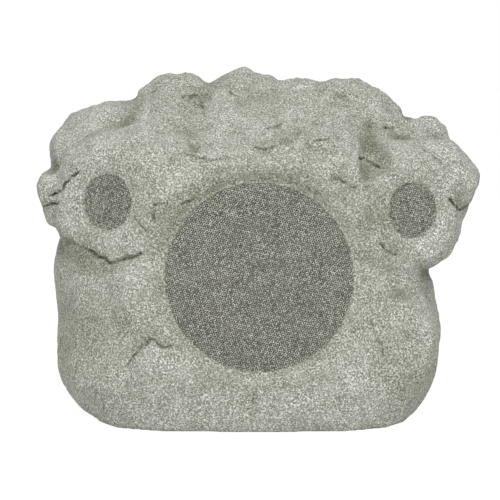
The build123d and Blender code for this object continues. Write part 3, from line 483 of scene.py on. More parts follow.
def base_cutter():
    """Mesh that cuts the recess of the base plate out of the rock's foot."""
    points = mesh_points(nodes["base_plate"].data)
    bottom = points[points[:, 2] < points[:, 2].min() + RECESS_CLEARANCE]
    middle = (bottom.min(axis=0) + bottom.max(axis=0)) / 2
    offset = bottom[:, :2] - middle[:2]
    reach = np.hypot(*offset.T)
    outline = offset[reach > OUTLINE_SHARE * reach.max()]
    angles = np.arctan2(outline[:, 1], outline[:, 0]).round(OUTLINE_DIGITS)
    _, first = np.unique(angles, return_index=True)
    outline = outline[first]
    outline *= (1 + RECESS_CLEARANCE / np.hypot(*outline.T))[:, None]
    count = len(outline)
    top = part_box("base_gasket")[1].z
    ring = outline + middle[:2]
    lower = np.column_stack([ring, np.full(count, -CUT_REACH)])
    upper = np.column_stack([ring, np.full(count, top)])
    faces = [tuple(range(count - 1, -1, -1)), tuple(range(count, 2 * count))]
    for index in range(count):
        after = (index + 1) % count
        faces.append((index, after, count + after, count + index))
    return new_mesh("base_cutter", np.concatenate([lower, upper]), faces)


def photo_pixels(points):
    """Where places fall in the photograph, in its pixels."""
    offset = points - camera_place
    depth = -(offset @ camera_back)
    scale = CAMERA_DISTANCE / PIXEL / depth
    half = PHOTO_SIZE / 2
    return np.stack([half + scale * offset[:, 0], half - scale * (offset @ camera_up)], axis=-1)


def route_gap(pixels, route):
    """Distance in pixels from each place to a route of straight stretches, the share of the route's length
    where it is nearest, and whether the place lies on the route's right-hand side."""
    route = np.array(route, float)
    lengths = np.hypot(*np.diff(route, axis=0).T)
    nearest = np.full(len(pixels), np.inf)
    share = np.zeros(len(pixels))
    right = np.zeros(len(pixels), bool)
    passed = 0.0
    for start, end, length in zip(route[:-1], route[1:], lengths):
        run = end - start
        along = np.clip((pixels - start) @ run / length ** 2, 0.0, 1.0)
        gap = pixels - start - along[:, None] * run
        distance = np.hypot(*gap.T)
        closer = distance < nearest
        nearest[closer] = distance[closer]
        share[closer] = (passed + along[closer] * length) / lengths.sum()
        right[closer] = (run[0] * gap[:, 1] > run[1] * gap[:, 0])[closer]
        passed += length
    return nearest, share, right


def field(points, bumps):
    """Smooth noise from about -1 to 1."""
    places = (points / bumps.size + FIELD_SHIFT * bumps.seed).tolist()
    if bumps.octaves == 1:
        return np.array([noise.noise(place) for place in places])
    shape = (FRACTAL_FALL, FRACTAL_STEP, bumps.octaves)
    return np.array([noise.fractal(place, *shape) for place in places])


def chips(points, bumps):
    """Flat chips of rock: each cell of a random division leans its own way."""
    places = (points / bumps.size + CHIP_SHIFT * bumps.seed).tolist()
    lean = []
    for place in places:
        _, middles = noise.voronoi(place)
        tilt = noise.noise_vector(middles[0] * TILT_SCALE)
        lean.append((Vector(place) - middles[0]).dot(tilt))
    return np.array(lean)


def vertex_normals(points, faces):
    """Normals of the vertices of a mesh of triangles."""
    corners = points[faces]
    normals = np.cross(corners[:, 1] - corners[:, 0], corners[:, 2] - corners[:, 0])
    total = np.zeros_like(points)
    for corner in range(3):
        for axis in range(3):
            total[:, axis] += np.bincount(faces[:, corner], normals[:, axis], len(points))
    length = np.linalg.norm(total, axis=1)
    return total / np.maximum(length, LEAST_LENGTH)[:, None]


def mesh_links(mesh):
    """Triangles and edges of a mesh, as rows of vertex numbers."""
    mesh.calc_loop_triangles()
    faces = read_rows(mesh.loop_triangles, "vertices", 3, np.int32)
    return faces, read_rows(mesh.edges, "vertices", 2, np.int32)


def refine_cracks(mesh):
    """Divide the faces along the narrow grooves, so that these come out sharp."""
    shape = bmesh.new()
    shape.from_mesh(mesh)
    for reach in CRACK_BANDS:
        shape.normal_update()
        points = np.array([vertex.co for vertex in shape.verts])
        normals = np.array([vertex.normal for vertex in shape.verts])
        pixels = photo_pixels(points)
        near = np.zeros(len(points), bool)
        for groove in GROOVES.values():
            if groove.width < CRACK_WIDTH:
                near |= PIXEL * route_gap(pixels, groove.route)[0] < reach
        near &= normals @ camera_back > 0.0
        edges = [edge for edge in shape.edges if all(near[vertex.index] for vertex in edge.verts)]
        bmesh.ops.subdivide_edges(shape, edges=edges, cuts=1, use_grid_fill=True)
    bmesh.ops.triangulate(shape, faces=[face for face in shape.faces if len(face.verts) > 4])
    shape.to_mesh(mesh)
    shape.free()


def neighbour_mean(values, edges):
    """Mean of each vertex's neighbours."""
    count = len(values)
    ends = np.concatenate([edges[:, 0], edges[:, 1]])
    others = np.concatenate([edges[:, 1], edges[:, 0]])
    number = np.bincount(ends, minlength=count)
    columns = [np.bincount(ends, values[others, axis], count) for axis in range(values.shape[1])]
    return np.stack(columns, axis=-1) / np.maximum(number, 1)[:, None]


def outer_vertices(points):
    """Which vertices lie on the boulder's outside, by rays that find a way out."""
    shape = bmesh.new()
    for name in ("rock_shell", "base_plate", "cable_grommet"):
        shape.from_mesh(nodes[name].data)
    for driver in seats:
        shape.from_mesh(recess_plug(driver))
    tree = BVHTree.FromBMesh(shape)
    turns = np.linspace(0, 2 * math.pi, RAY_COUNT + 1)[:-1]
    tilts = [Vector((math.cos(turn), math.sin(turn), RAY_LEAN)) for turn in turns]
    tilts.append(Vector((0.0, 0.0, 1.0)))
    outside = []
    for face in shape.faces:
        turn = face.normal.to_track_quat("Z", "Y")
        start = face.calc_center_median() + RAY_START * face.normal
        outside.append(any(tree.ray_cast(start, turn @ tilt)[0] is None for tilt in tilts))
    shape.free()
    return np.array([outside[tree.find_nearest(point)[2]] for point in points.tolist()])


def soften(points, faces, edges, free):
    """Round the facets off: dents fill more than ridges wear."""
    for _ in range(SOFTEN_STEPS):
        pull = neighbour_mean(points, edges) - points
        rise = np.einsum("ij,ij->i", pull, vertex_normals(points, faces))
        share = np.where(rise > 0, SOFTEN_FILL, SOFTEN_WEAR) * free
        points = points + share[:, None] * pull
    return points


def spread(values, edges, steps):
    """Values evened out over their neighbours, step by step."""
    for _ in range(steps):
        values = neighbour_mean(values, edges)
    return values


def apron_share(points):
    """1 beside the woofer's grille, falling to 0 past the dished band of rock round it."""
    radius, height = about(points, seats["woofer"])
    gap = radius - recess_of("woofer")[0]
    in_front = smooth_step(-APRON_WIDTH, 0.0, height)
    return in_front * (1.0 - smooth_step(APRON_WIDTH / 2, APRON_WIDTH * 3 / 2, gap))


def crown_share(points):
    """1 on the craggy crown, falling to 0 on the smoother rock below it."""
    return smooth_step(*CROWN_RISE, points[:, 2])


def back_share(points):
    """1 on the back, falling to 0 on the face."""
    return smooth_step(*BACK_RISE, points[:, 1])


def crag_share(points):
    """How craggy the rock is: smoother low down and in patches."""
    patches = PATCH_LEAST + (1.0 - PATCH_LEAST) * smooth_step(*PATCH_RISE, field(points, PATCH))
    least = CRAG_LEAST + (CRAG_BACK - CRAG_LEAST) * back_share(points)
    return patches * (least + (1.0 - least) * crown_share(points))


def swayed_pixels(points):
    """Pixels of places, moved a little this way and that, so that marks wander off their routes."""
    sway = np.stack([field(points, SWAY_ACROSS), field(points, SWAY_UP)], axis=-1)
    return photo_pixels(points) + MARK_SWAY * sway


def spot_share(pixels, spot):
    """1 in the middle of a round mark, falling to 0 past its reach."""
    gap = PIXEL * np.hypot(*(pixels - np.array(spot.place, float)).T)
    return np.exp(-((gap / spot.reach) ** 2))


def groove_share(pixels, groove, breaks):
    """1 along the middle of a groove, falling to 0 beside it. The rock breaks a crack here and there."""
    gap, along, right = route_gap(pixels, groove.route)
    width = np.where(right, groove.lean, 1.0) * groove.width
    share = np.exp(-((PIXEL * gap / width) ** 2))
    if groove.lean > 1.0:
        return share * smooth_step(*LEDGE_FADE, along) * smooth_step(*LEDGE_FADE, 1.0 - along)
    return share * breaks if groove.width < CRACK_WIDTH else share


def crack_breaks(points):
    """Share that is left of a crack at each place."""
    return BREAK_LEAST + (1.0 - BREAK_LEAST) * smooth_step(*BREAK_RISE, field(points, BREAK))


def rock_relief(points, normals):
    """Height of the rock's relief over its plain form."""
    crag = crag_share(points)
    relief = SWELL.height * field(points, SWELL.bumps)
    relief += crag * CHIP.height * chips(points, CHIP.bumps)
    relief += crag * CRUMB.height * field(points, CRUMB.bumps)
    relief += GRAIN.height * field(points, GRAIN.bumps)
    slabs = np.clip(chips(points, SLAB.bumps), -SLAB_MOST, SLAB_MOST)
    relief += back_share(points) * (SLAB.height * slabs - SLAB_SINK)
    relief *= 1.0 - (1.0 - APRON_FREEDOM) * apron_share(points)

    pixels = swayed_pixels(points)
    breaks = crack_breaks(points)
    to_camera = camera_place - points
    to_camera /= np.linalg.norm(to_camera, axis=1)[:, None]
    seen = smooth_step(*MARK_SEEN, np.einsum("ij,ij->i", normals, to_camera))
    for groove in GROOVES.values():
        relief -= seen * groove.depth * groove_share(pixels, groove, breaks)
    for dent in DENTS.values():
        relief -= seen * dent.depth * spot_share(pixels, dent)
    return relief


def mark_shade_and_crags(mesh, points, faces, edges):
    """Shares of the painted shade in the hollows, beside the woofer, in the washes and along the cracks,
    and of the crags, kept on the mesh for its material.
    """
    normals = vertex_normals(points, faces)
    marks = {"crag": crag_share(points)}
    for name, hollow in (("cavity_painted_shade", CAVITY), ("basin_painted_shade", BASIN)):
        depth = np.einsum("ij,ij->i", spread(points, edges, hollow.width) - points, normals)
        share = smooth_step(hollow.start, hollow.full, depth)
        marks[name] = spread(share[:, None], edges, hollow.edge)[:, 0]
    # Painted shade beside the woofer's grille and in the washes, on the faces towards the camera
    unshaded = 1.0 - APRON_PAINTED_SHADE * apron_share(points)
    pixels = swayed_pixels(points)
    front = smooth_step(*PAINTED_SHADE_FACING, normals @ camera_back)
    for shade_spot in PAINTED_SHADES.values():
        unshaded *= 1.0 - shade_spot.share * front * spot_share(pixels, shade_spot)
    marks["basin_painted_shade"] = 1.0 - (1.0 - marks["basin_painted_shade"]) * unshaded
    # Painted shade along the narrow cracks, darker as they are deeper
    breaks = crack_breaks(points)
    marks["crack"] = np.zeros(len(points))
    for groove in GROOVES.values():
        if groove.width < CRACK_WIDTH:
            line = groove._replace(lean=1.0)
            share = groove.coat * groove.depth / CRACK_DEEP * groove_share(pixels, line, breaks)
            marks["crack"] = np.maximum(marks["crack"], np.minimum(share * front, 1.0))
    for name, share in marks.items():
        kept = mesh.attributes.new(name, "FLOAT", "POINT")
        kept.data.foreach_set("value", share.astype(np.float32))


def darken_lips(mesh):
    """Painted shade on the walls of the recesses, up to the lips round the grilles."""
    points = mesh_points(mesh)
    coat = mesh.attributes["basin_painted_shade"].data
    shares = read_rows(coat, "value", 1).ravel()
    for driver, seat in seats.items():
        radius, height = about(points, seat)
        opening, ledge, _ = recess_of(driver)
        shares[(radius < opening + LIP_CLEARANCE) & (height > ledge - LIP_DEPTH)] = LIP_PAINTED_SHADE
    coat.foreach_set("value", shares)


def round_foot(points):
    """Shifts that draw the corners of the foot in."""
    pixels = photo_pixels(points)
    shift = np.zeros_like(points)
    for corner in CORNERS.values():
        shift[:, 0] -= np.sign(points[:, 0]) * corner.depth * spot_share(pixels, corner)
    return shift


def level_lips(points):
    """Shifts that bring the rock beside each grille level with it."""
    shift = np.zeros_like(points)
    rough = LIP_FACE + LIP_ROUGHNESS.height * field(points, LIP_ROUGHNESS.bumps)
    for driver, seat in seats.items():
        radius, height = about(points, seat)
        gap = radius - recess_of(driver)[0]
        share = 1.0 - smooth_step(0.0, LIP_BAND, gap)
        share *= smooth_step(-2 * LIP_BAND, -LIP_BAND, height)
        shift += (share * (rough - height))[:, None] * seat.out
    return shift


def rock_surface(mesh):
    """Vertices, triangles and edges of the boulder, which vertices lie outside, and how free they are."""
    points = mesh_points(mesh)
    faces, edges = mesh_links(mesh)
    outer = outer_vertices(points)
    free = outer * smooth_step(FOOT_HEIGHT / 3, FOOT_HEIGHT, points[:, 2])
    return points, faces, edges, outer, free


def make_boulder():
    """Boulder with its hollow, remade as a fine mesh with the rock's relief and clean recesses."""
    solids = [nodes["rock_shell"].data] + [recess_plug(driver) for driver in seats]
    rough = linked("rough_boulder", merged("rough_boulder", solids))
    remesh = rough.modifiers.new("voxels", "REMESH")
    remesh.mode = "VOXEL"
    remesh.voxel_size = ROCK_VOXEL
    mesh = applied(rough)
    discard(rough)

    points, faces, edges, outer, free = rock_surface(mesh)
    calm = 1.0 - (1.0 - APRON_FREEDOM) * apron_share(points)
    calm *= 1.0 - EDGES_KEPT * crown_share(points)
    move_points(mesh, soften(points, faces, edges, free * calm))
    refine_cracks(mesh)

    points, faces, edges, outer, free = rock_surface(mesh)
    normals = vertex_normals(points, faces)
    relief = np.zeros(len(points))
    relief[outer] = rock_relief(points[outer], normals[outer])
    points += (relief * free)[:, None] * normals
    mark_shade_and_crags(mesh, points, faces, edges)
    points[outer] += level_lips(points[outer])
    points += round_foot(points)
    move_points(mesh, np.clip(points, cad_box[0], cad_box[1]))

    boulder = linked("boulder", mesh)
    hollow = boulder.vertex_groups.new(name="hollow")
    hollow.add(np.flatnonzero(~outer).tolist(), 1.0, "REPLACE")
    thin = boulder.modifiers.new("thin hollow", "DECIMATE")
    thin.vertex_group = "hollow"
    thin.ratio = 1.0 - (1.0 - HOLLOW_KEPT) * np.mean(~outer)
    tools = [recess_cutter(driver) for driver in seats] + [base_cutter(), grommet_cutter()]
    cutters = [linked("cutter", tool) for tool in tools]
    for cutter in cutters:
        cut = boulder.modifiers.new("cut", "BOOLEAN")
        cut.operation = "DIFFERENCE"
        cut.solver = "MANIFOLD"
        cut.object = cutter
    finished = applied(boulder)
    discard(boulder, *cutters)
    darken_lips(finished)
    finished.set_sharp_from_angle(angle=ROCK_SHARP)
    return linked("boulder", finished)


# Grilles
HOLE_ROWS = 0.0021  # from one row of holes to the next
STRIP_WIDTH = 0.00072  # the strips close the corners between the holes from a third of that on
STRIP_TURNS = (17.0, 77.0, 137.0)
STRIP_STEP = 0.00005
STRIP_FACES = ((0, 1, 2, 3), (7, 6, 5, 4), (0, 4, 5, 1), (1, 5, 6, 2), (2, 6, 7, 3), (3, 7, 4, 0))
SHEET_THICKNESS = 0.0007
RIM_WIDTH = 0.0010
RIM_WALL = 0.0007
RIM_RISE = 0.0003
RIM_STEPS = 256
RIM_SHARP = math.radians(35)
# Points of the rolled rim: fifths of its width from one of its edges, and shares of its rise below its top
RIM_FIFTH = RIM_WIDTH / 5
RIM_INNER = ((0.0, 1.0), (1.0, 1.0 / 3.0), (2.2, 0.0))
RIM_OUTER = ((1.4, 0.0), (0.5, 0.5), (0.0, 1.4))


def perforated_sheet(seat, reach):
    """Round sheet with staggered six-sided holes: three sets of strips that cross each other."""
    points, faces = [], []
    rows = math.floor(reach / HOLE_ROWS - 0.5)
    back = -RIM_RISE - SHEET_THICKNESS
    for level, turn in enumerate(STRIP_TURNS):
        sideways = np.array([math.cos(math.radians(turn)), math.sin(math.radians(turn))])
        along = np.array([-sideways[1], sideways[0]])
        front = -RIM_RISE - level * STRIP_STEP
        for row in range(-rows - 1, rows + 1):
            middle = (row + 0.5) * HOLE_ROWS
            flat = []
            for side, end in SQUARE:
                place = middle + side * STRIP_WIDTH / 2
                length = end * math.sqrt(max(reach ** 2 - place ** 2, 0.0))
                flat.append(place * sideways + length * along)
            flat = np.array(flat)
            first = len(points)
            for height in (front, back):
                points.extend(from_seat(seat, flat[:, 0], flat[:, 1], height))
            faces.extend(tuple(first + corner for corner in face) for face in STRIP_FACES)
    return points, faces


def rolled_rim(seat, span):
    """Rim round a sheet, with the skirt that stands on the driver."""
    inner = span.outer - RIM_WIDTH
    under = -SHEET_THICKNESS - RIM_RISE - RIM_WALL
    profile = [(inner, under)]
    profile += [(inner + step * RIM_FIFTH, -drop * RIM_RISE) for step, drop in RIM_INNER]
    profile += [(span.outer - step * RIM_FIFTH, -drop * RIM_RISE) for step, drop in RIM_OUTER]
    profile += [
        (span.outer, span.back),
        (span.outer - RIM_WALL, span.back),
        (span.outer - RIM_WALL, under),
    ]
    rings = [ring_about(seat, radius, height, RIM_STEPS) for radius, height in profile]
    faces = []
    for ring in range(len(profile)):
        here = ring * RIM_STEPS
        there = (ring + 1) % len(profile) * RIM_STEPS
        for step in range(RIM_STEPS):
            after = (step + 1) % RIM_STEPS
            faces.append((here + step, here + after, there + after, there + step))
    return np.concatenate(rings), faces


def make_grille(driver):
    """Grille: a perforated sheet in a rolled rim."""
    seat = seats[driver]
    span = span_of(f"{driver}_grille", seat)
    sheet = new_mesh("sheet", *perforated_sheet(seat, span.outer - RIM_WIDTH / 2))
    rim = new_mesh("rim", *rolled_rim(seat, span))
    mesh = merged(f"{driver}_mesh", [sheet, rim], outward=True)
    mesh.polygons.foreach_set("use_smooth", np.ones(len(mesh.polygons), bool))
    mesh.set_sharp_from_angle(angle=RIM_SHARP)
    return linked(f"{driver}_mesh", mesh)


# Noise textures, with bumps of 1/scale metres, and speckles that rise between two levels of a texture
Texture = namedtuple(
    "Texture", "scale detail shift roughness kind stretch", defaults=(0.5, "FBM", (1.0, 1.0, 1.0))
)
Speckle = namedtuple("Speckle", "texture low high most")
SHIFT_SHARES = (1.0, 1.7, 0.6)

# Stone and paint
GRAINS = Speckle(Texture(560.0, 3.0, 1.0, 0.7), 0.44, 0.66, 1.0)
TONES = Speckle(Texture(60.0, 3.0, 3.1), 0.35, 0.65, 0.35)
TONE_PALE = 0.35  # share of the pale colour in the patches of plainer tone
CLOUDS = Speckle(Texture(45.0, 3.0, 7.3), 0.4, 0.65, 0.6)
CLOUD_TINT = (0.8, 0.805, 0.77)
PITS = Speckle(Texture(760.0, 1.0, 8.0), 0.61, 0.7, 0.8)
PIT_SHADE = 0.35
FLECKS = Speckle(Texture(700.0, 1.0, 6.0), 0.61, 0.7, 0.8)
FLECK_SHADE = 1.15
ROCK_GROUND = (0.251, 0.256, 0.211)
ROCK_PALE = (0.96, 0.966, 0.905)
PAINT_GROUND = (0.131, 0.134, 0.108)
PAINT_PALE = (0.71, 0.72, 0.63)
# Painted shade: tints that darken the rock in its hollows and along its cracks
BASIN_PAINTED_SHADE = (0.58, 0.595, 0.51)
CAVITY_PAINTED_SHADE = (0.6, 0.61, 0.54)
CRACK_PAINTED_SHADE = (0.28, 0.285, 0.24)
ROCK_ROUGHNESS = 0.9
PAINT_ROUGHNESS = 0.7
STONE_SPECULAR = 0.25
STONE_TEXTURE = Texture(420.0, 3.0, 5.0)
STONE_BUMP = 0.0004
CRAG_TEXTURE = Texture(70.0, 4.0, 9.0, 0.6, "RIDGED_MULTIFRACTAL")
CRAG_LOW_SHADE = (0.05, 0.35, 0.35, 0.0)  # levels of the texture's lows, and shares of the painted shade there
CRAG_LEVELS = (0.0, 1.2)
CRAG_BUMP = 0.0025

# Pieces behind the grilles and in the boulder
Finish = namedtuple("Finish", "kind scale relief roughness metallic", defaults=(0.0,))
BRUSHED = Texture(1.0, 2.0, 4.0, stretch=(1.0, 1.0, 0.06))
MOULDED = Texture(1.0, 3.0, 4.0)
MOTTLE = Speckle(Texture(40.0, 3.0, 2.0), 0.3, 0.7, 0.3)
# Painted light on the highs of a finish's fine relief and painted shade in its lows; the darker colour is
# also the mottle's
FINISH_LEVELS = (0.2, 0.8)
FINISH_PAINTED_LIGHT = 1.15
FINISH_SHADE_AND_MOTTLE = 0.80
FINISHES = {
    "rock": Finish("moulded", 400, 0.0004, 0.9),
    "grille": Finish("moulded", 600, 0.0002, 0.7),
    "base_plastic": Finish("moulded", 700, 0.0002, 0.6),
    "seal": Finish("moulded", 900, 0.0002, 0.85),
    "screw_steel": Finish("brushed", 1500, 0.0001, 0.4, 1.0),
    "frame_paint": Finish("moulded", 900, 0.0001, 0.5),
    "surround_rubber": Finish("moulded", 1200, 0.0001, 0.7),
    "cone": Finish("moulded", 350, 0.0002, 0.8),
    "coil_copper": Finish("wound", 900, 0.0002, 0.35, 1.0),
    "spider_cloth": Finish("woven", 700, 0.0003, 0.9),
    "motor_steel": Finish("brushed", 900, 0.0001, 0.4, 1.0),
    "ferrite": Finish("moulded", 1500, 0.0001, 0.75),
    "terminal": Finish("brushed", 1200, 0.0001, 0.35),
    "board": Finish("woven", 900, 0.0001, 0.35),
    "block": Finish("moulded", 900, 0.0001, 0.4),
    "faceplate": Finish("moulded", 800, 0.0001, 0.6),
    "dome_cloth": Finish("woven", 1100, 0.0002, 0.75),
    "capacitor": Finish("moulded", 300, 0.0001, 0.3),
    "ceramic": Finish("moulded", 1200, 0.0001, 0.55),
}


class Nodes:
    """Small helper for a material's nodes."""

    def __init__(self, name):
        self.material = bpy.data.materials.new(name)
        self.material.use_nodes = True
        self.tree = self.material.node_tree
        self.shader = self.tree.nodes["Principled BSDF"]
        self.place = self.add("ShaderNodeTexCoord").outputs["Object"]

    def add(self, kind, **settings):
        node = self.tree.nodes.new(kind)
        for key, value in settings.items():
            setattr(node, key, value)
        return node

    def link(self, source, target):
        self.tree.links.new(source, target)

    def noise(self, texture):
        """Noise texture in the object's own space."""
        moved = self.add("ShaderNodeVectorMath", operation="MULTIPLY_ADD")
        self.link(self.place, moved.inputs[0])
        moved.inputs[1].default_value = texture.stretch
        moved.inputs[2].default_value = [texture.shift * share for share in SHIFT_SHARES]
        node = self.add("ShaderNodeTexNoise", noise_type=texture.kind)
        node.inputs["Scale"].default_value = texture.scale
        node.inputs["Detail"].default_value = texture.detail
        node.inputs["Roughness"].default_value = texture.roughness
        self.link(moved.outputs[0], node.inputs["Vector"])
        return node.outputs["Fac"]

    def speckle(self, speckle):
        """Share of a speckle at each place."""
        return self.band(self.noise(speckle.texture), speckle.low, speckle.high, 0.0, speckle.most)

    def wave(self, direction, scale):
        """Fine ridges across a direction."""
        texture = self.add("ShaderNodeTexWave", bands_direction=direction)
        texture.inputs["Scale"].default_value = scale
        self.link(self.place, texture.inputs["Vector"])
        return texture.outputs["Fac"]

    def band(self, value, low, high, bottom=0.0, top=1.0):
        """Smooth rise of a value between two levels."""
        ramp = self.add("ShaderNodeMapRange", interpolation_type="SMOOTHSTEP")
        ramp.inputs["From Min"].default_value = low
        ramp.inputs["From Max"].default_value = high
        ramp.inputs["To Min"].default_value = bottom
        ramp.inputs["To Max"].default_value = top
        self.link(value, ramp.inputs["Value"])
        return ramp.outputs["Result"]

    def mix(self, share, first, second):
        """Mix of two colours, each a socket or an RGB triple."""
        return self.blend("MIX", share, first, second)

    def tint(self, share, colour, filter_colour):
        """Colour seen through a filter, by a share."""
        return self.blend("MULTIPLY", share, colour, filter_colour)

    def blend(self, kind, share, first, second):
        mixer = self.add("ShaderNodeMix", data_type="RGBA", blend_type=kind)
        self.link(share, mixer.inputs["Factor"])
        for socket, colour in ((mixer.inputs["A"], first), (mixer.inputs["B"], second)):
            if isinstance(colour, (tuple, list)):
                socket.default_value = (*colour, 1.0)
            else:
                self.link(colour, socket)
        return mixer.outputs["Result"]

    def attribute(self, name):
        """Share that the mesh keeps under a name."""
        return self.add("ShaderNodeAttribute", attribute_name=name).outputs["Fac"]

    def times(self, first, second):
        """Product of two values."""
        product = self.add("ShaderNodeMath", operation="MULTIPLY")
        self.link(first, product.inputs[0])
        self.link(second, product.inputs[1])
        return product.outputs[0]

    def bump(self, height, distance):
        """Relief of a given height, over any relief that was added before."""
        node = self.add("ShaderNodeBump")
        node.inputs["Distance"].default_value = distance
        self.link(height, node.inputs["Height"])
        under = self.shader.inputs["Normal"]
        if under.is_linked:
            self.link(under.links[0].from_socket, node.inputs["Normal"])
        self.link(node.outputs["Normal"], under)


def shaded(colour, share):
    """Colour made lighter or darker."""
    return [min(1.0, share * part) for part in colour]


def granite(coat, ground, pale):
    """Speckled granite colour: pale grains and dark pits on a grey-green ground."""
    colour = coat.mix(coat.speckle(GRAINS), ground, pale)
    tone = [(1.0 - TONE_PALE) * low + TONE_PALE * high for low, high in zip(ground, pale)]
    colour = coat.mix(coat.speckle(TONES), colour, tone)
    colour = coat.tint(coat.speckle(CLOUDS), colour, CLOUD_TINT)
    colour = coat.mix(coat.speckle(PITS), colour, shaded(ground, PIT_SHADE))
    return coat.mix(coat.speckle(FLECKS), colour, shaded(pale, FLECK_SHADE))


def stone_surface(coat, colour, roughness):
    """Colour, gloss and fine relief of a stone coat."""
    coat.link(colour, coat.shader.inputs["Base Color"])
    coat.shader.inputs["Roughness"].default_value = roughness
    coat.shader.inputs["Specular IOR Level"].default_value = STONE_SPECULAR
    coat.bump(coat.noise(STONE_TEXTURE), STONE_BUMP)
    return coat.material


def rock_coat():
    """Speckled coat of the boulder, with painted shade, darker and more olive, in its hollows."""
    coat = Nodes("rock_coat")
    colour = granite(coat, ROCK_GROUND, ROCK_PALE)
    # Painted shade in the hollows, round the recesses, in the washes and along the cracks
    for name, tint in (("basin_painted_shade", BASIN_PAINTED_SHADE), ("cavity_painted_shade", CAVITY_PAINTED_SHADE), ("crack", CRACK_PAINTED_SHADE)):
        colour = coat.tint(coat.attribute(name), colour, tint)
    # Painted shade in the lows of the same ridged texture that makes the crag bump
    crag = coat.noise(CRAG_TEXTURE)
    lows = coat.times(coat.band(crag, *CRAG_LOW_SHADE), coat.attribute("crag"))
    colour = coat.tint(lows, colour, CAVITY_PAINTED_SHADE)
    coat.bump(coat.times(coat.band(crag, *CRAG_LEVELS), coat.attribute("crag")), CRAG_BUMP)
    return stone_surface(coat, colour, ROCK_ROUGHNESS)


def grille_paint():
    """Speckled paint of the grilles, in the rock's colours but darker."""
    paint = Nodes("grille_paint")
    return stone_surface(paint, granite(paint, PAINT_GROUND, PAINT_PALE), PAINT_ROUGHNESS)


def hidden_finish(slot, colour):
    """Finish of the pieces inside the boulder: its own texture, slightly mottled, with painted light on the
    texture's highs and painted shade in its lows.
    """
    look = FINISHES[slot]
    finish = Nodes(slot)
    if look.kind == "woven":
        height = finish.times(finish.wave("X", look.scale), finish.wave("Z", look.scale))
    elif look.kind == "wound":
        height = finish.wave("Y", look.scale)
    else:
        texture = BRUSHED if look.kind == "brushed" else MOULDED
        height = finish.noise(texture._replace(scale=look.scale))
    # Painted shade in the texture's lows and painted light on its highs; the darker colour also makes the
    # random mottle
    deep = shaded(colour, FINISH_SHADE_AND_MOTTLE)
    shade = finish.mix(finish.band(height, *FINISH_LEVELS), deep, shaded(colour, FINISH_PAINTED_LIGHT))
    shade = finish.mix(finish.speckle(MOTTLE), shade, deep)
    finish.link(shade, finish.shader.inputs["Base Color"])
    finish.shader.inputs["Roughness"].default_value = look.roughness
    finish.shader.inputs["Metallic"].default_value = look.metallic
    finish.bump(height, look.relief)
    return finish.material


def dress_nodes():
    """Give every carried-over node the finish of its slot."""
    finishes = {slot: hidden_finish(slot, colour) for slot, colour in slot_colour.items()}
    for name, piece in nodes.items():
        for holder in piece.material_slots:
            holder.material = finishes[slot_of[name]]


# Stage
WHITE = (1.0, 1.0, 1.0, 1.0)
FLOOR_SIZE = 12.0
FLOOR_COLOUR = (0.86, 0.86, 0.84, 1.0)
FLOOR_GLOW = 0.85  # share of the floor that the camera sees as plain white
FLOOR_WHITE = 1.12
WORLD_LIGHT = 0.50
KEY_POWER = 33.5
KEY_PLACE = (0.05, -1.62, 1.88)
KEY_SIZE = 1.3


def larger(tree, first, second):
    """Socket with the larger of two values."""
    node = tree.nodes.new("ShaderNodeMath")
    node.operation = "MAXIMUM"
    tree.links.new(first, node.inputs[0])
    tree.links.new(second, node.inputs[1])
    return node.outputs[0]


def direct_rays(tree):
    """Socket that is 1 for rays from the camera, by reflection and through glass."""
    path = tree.nodes.new("ShaderNodeLightPath").outputs
    mirrored = larger(tree, path["Is Camera Ray"], path["Is Glossy Ray"])
    return larger(tree, mirrored, path["Is Transmission Ray"])


def mix_surfaces(tree, share, first, second, output):
    """Send a mix of two shaders to a tree's output."""
    mixer = tree.nodes.new("ShaderNodeMixShader")
    tree.links.new(share, mixer.inputs["Fac"])
    tree.links.new(first.outputs[0], mixer.inputs[1])
    tree.links.new(second.outputs[0], mixer.inputs[2])
    tree.links.new(mixer.outputs[0], tree.nodes[output].inputs["Surface"])


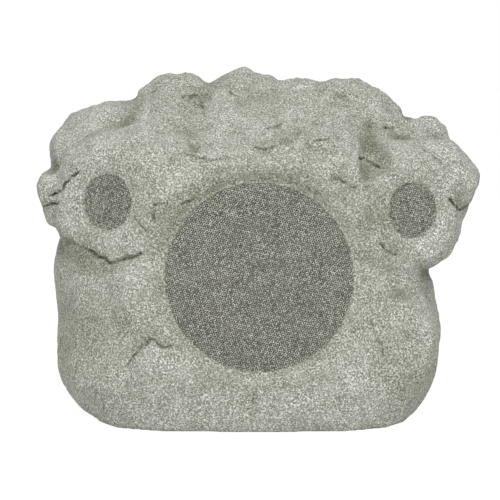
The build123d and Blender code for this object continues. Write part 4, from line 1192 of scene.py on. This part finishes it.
def make_floor():
    """Pale floor that keeps the object's shadow."""
    half = FLOOR_SIZE / 2
    corners = [(half * across, half * along, 0.0) for across, along in SQUARE]
    floor = linked("floor", new_mesh("floor", corners, [(0, 1, 2, 3)]))
    material = bpy.data.materials.new("floor")
    material.use_nodes = True
    tree = material.node_tree
    tree.nodes.remove(tree.nodes["Principled BSDF"])
    matt = tree.nodes.new("ShaderNodeBsdfDiffuse")
    matt.inputs["Color"].default_value = FLOOR_COLOUR
    glow = tree.nodes.new("ShaderNodeEmission")
    glow.inputs["Strength"].default_value = FLOOR_WHITE
    share = tree.nodes.new("ShaderNodeMath")
    share.operation = "MULTIPLY"
    share.inputs[1].default_value = FLOOR_GLOW
    tree.links.new(direct_rays(tree), share.inputs[0])
    mix_surfaces(tree, share.outputs[0], matt, glow, "Material Output")
    floor.data.materials.append(material)


def make_light():
    """White surroundings and a soft key light."""
    world = bpy.data.worlds.new("surroundings")
    world.use_nodes = True
    bpy.context.scene.world = world
    tree = world.node_tree
    light = tree.nodes["Background"]
    light.inputs["Color"].default_value = WHITE
    light.inputs["Strength"].default_value = WORLD_LIGHT
    white = tree.nodes.new("ShaderNodeBackground")
    white.inputs["Color"].default_value = WHITE
    mix_surfaces(tree, direct_rays(tree), light, white, "World Output")

    lamp = bpy.data.lights.new("key", "AREA")
    lamp.energy = KEY_POWER
    lamp.size = KEY_SIZE
    key = linked("key", lamp)
    key.location = KEY_PLACE
    aim = Vector(CAMERA_TARGET) - Vector(KEY_PLACE)
    key.rotation_euler = aim.to_track_quat("-Z", "Y").to_euler()


def make_camera():
    """Camera at the photograph's view."""
    data = bpy.data.cameras.new("camera")
    data.sensor_width = SENSOR_WIDTH
    data.lens = SENSOR_WIDTH * CAMERA_DISTANCE / FRAME_WIDTH
    camera = linked("camera", data)
    camera.location = camera_place
    camera.rotation_euler = Vector(-camera_back).to_track_quat("-Z", "Y").to_euler()
    bpy.context.scene.camera = camera


dress_nodes()
rock_material = rock_coat()
paint_material = grille_paint()

boulder = make_boulder()
boulder.data.materials.clear()
boulder.data.materials.append(rock_material)
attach(boulder, "rock")
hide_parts("rock_shell")

for driver in seats:
    grille = make_grille(driver)
    grille.data.materials.append(paint_material)
    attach(grille, "rock")
    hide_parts(f"{driver}_grille")

make_floor()
make_light()
make_camera()
bpy.context.scene.view_settings.view_transform = "Standard"
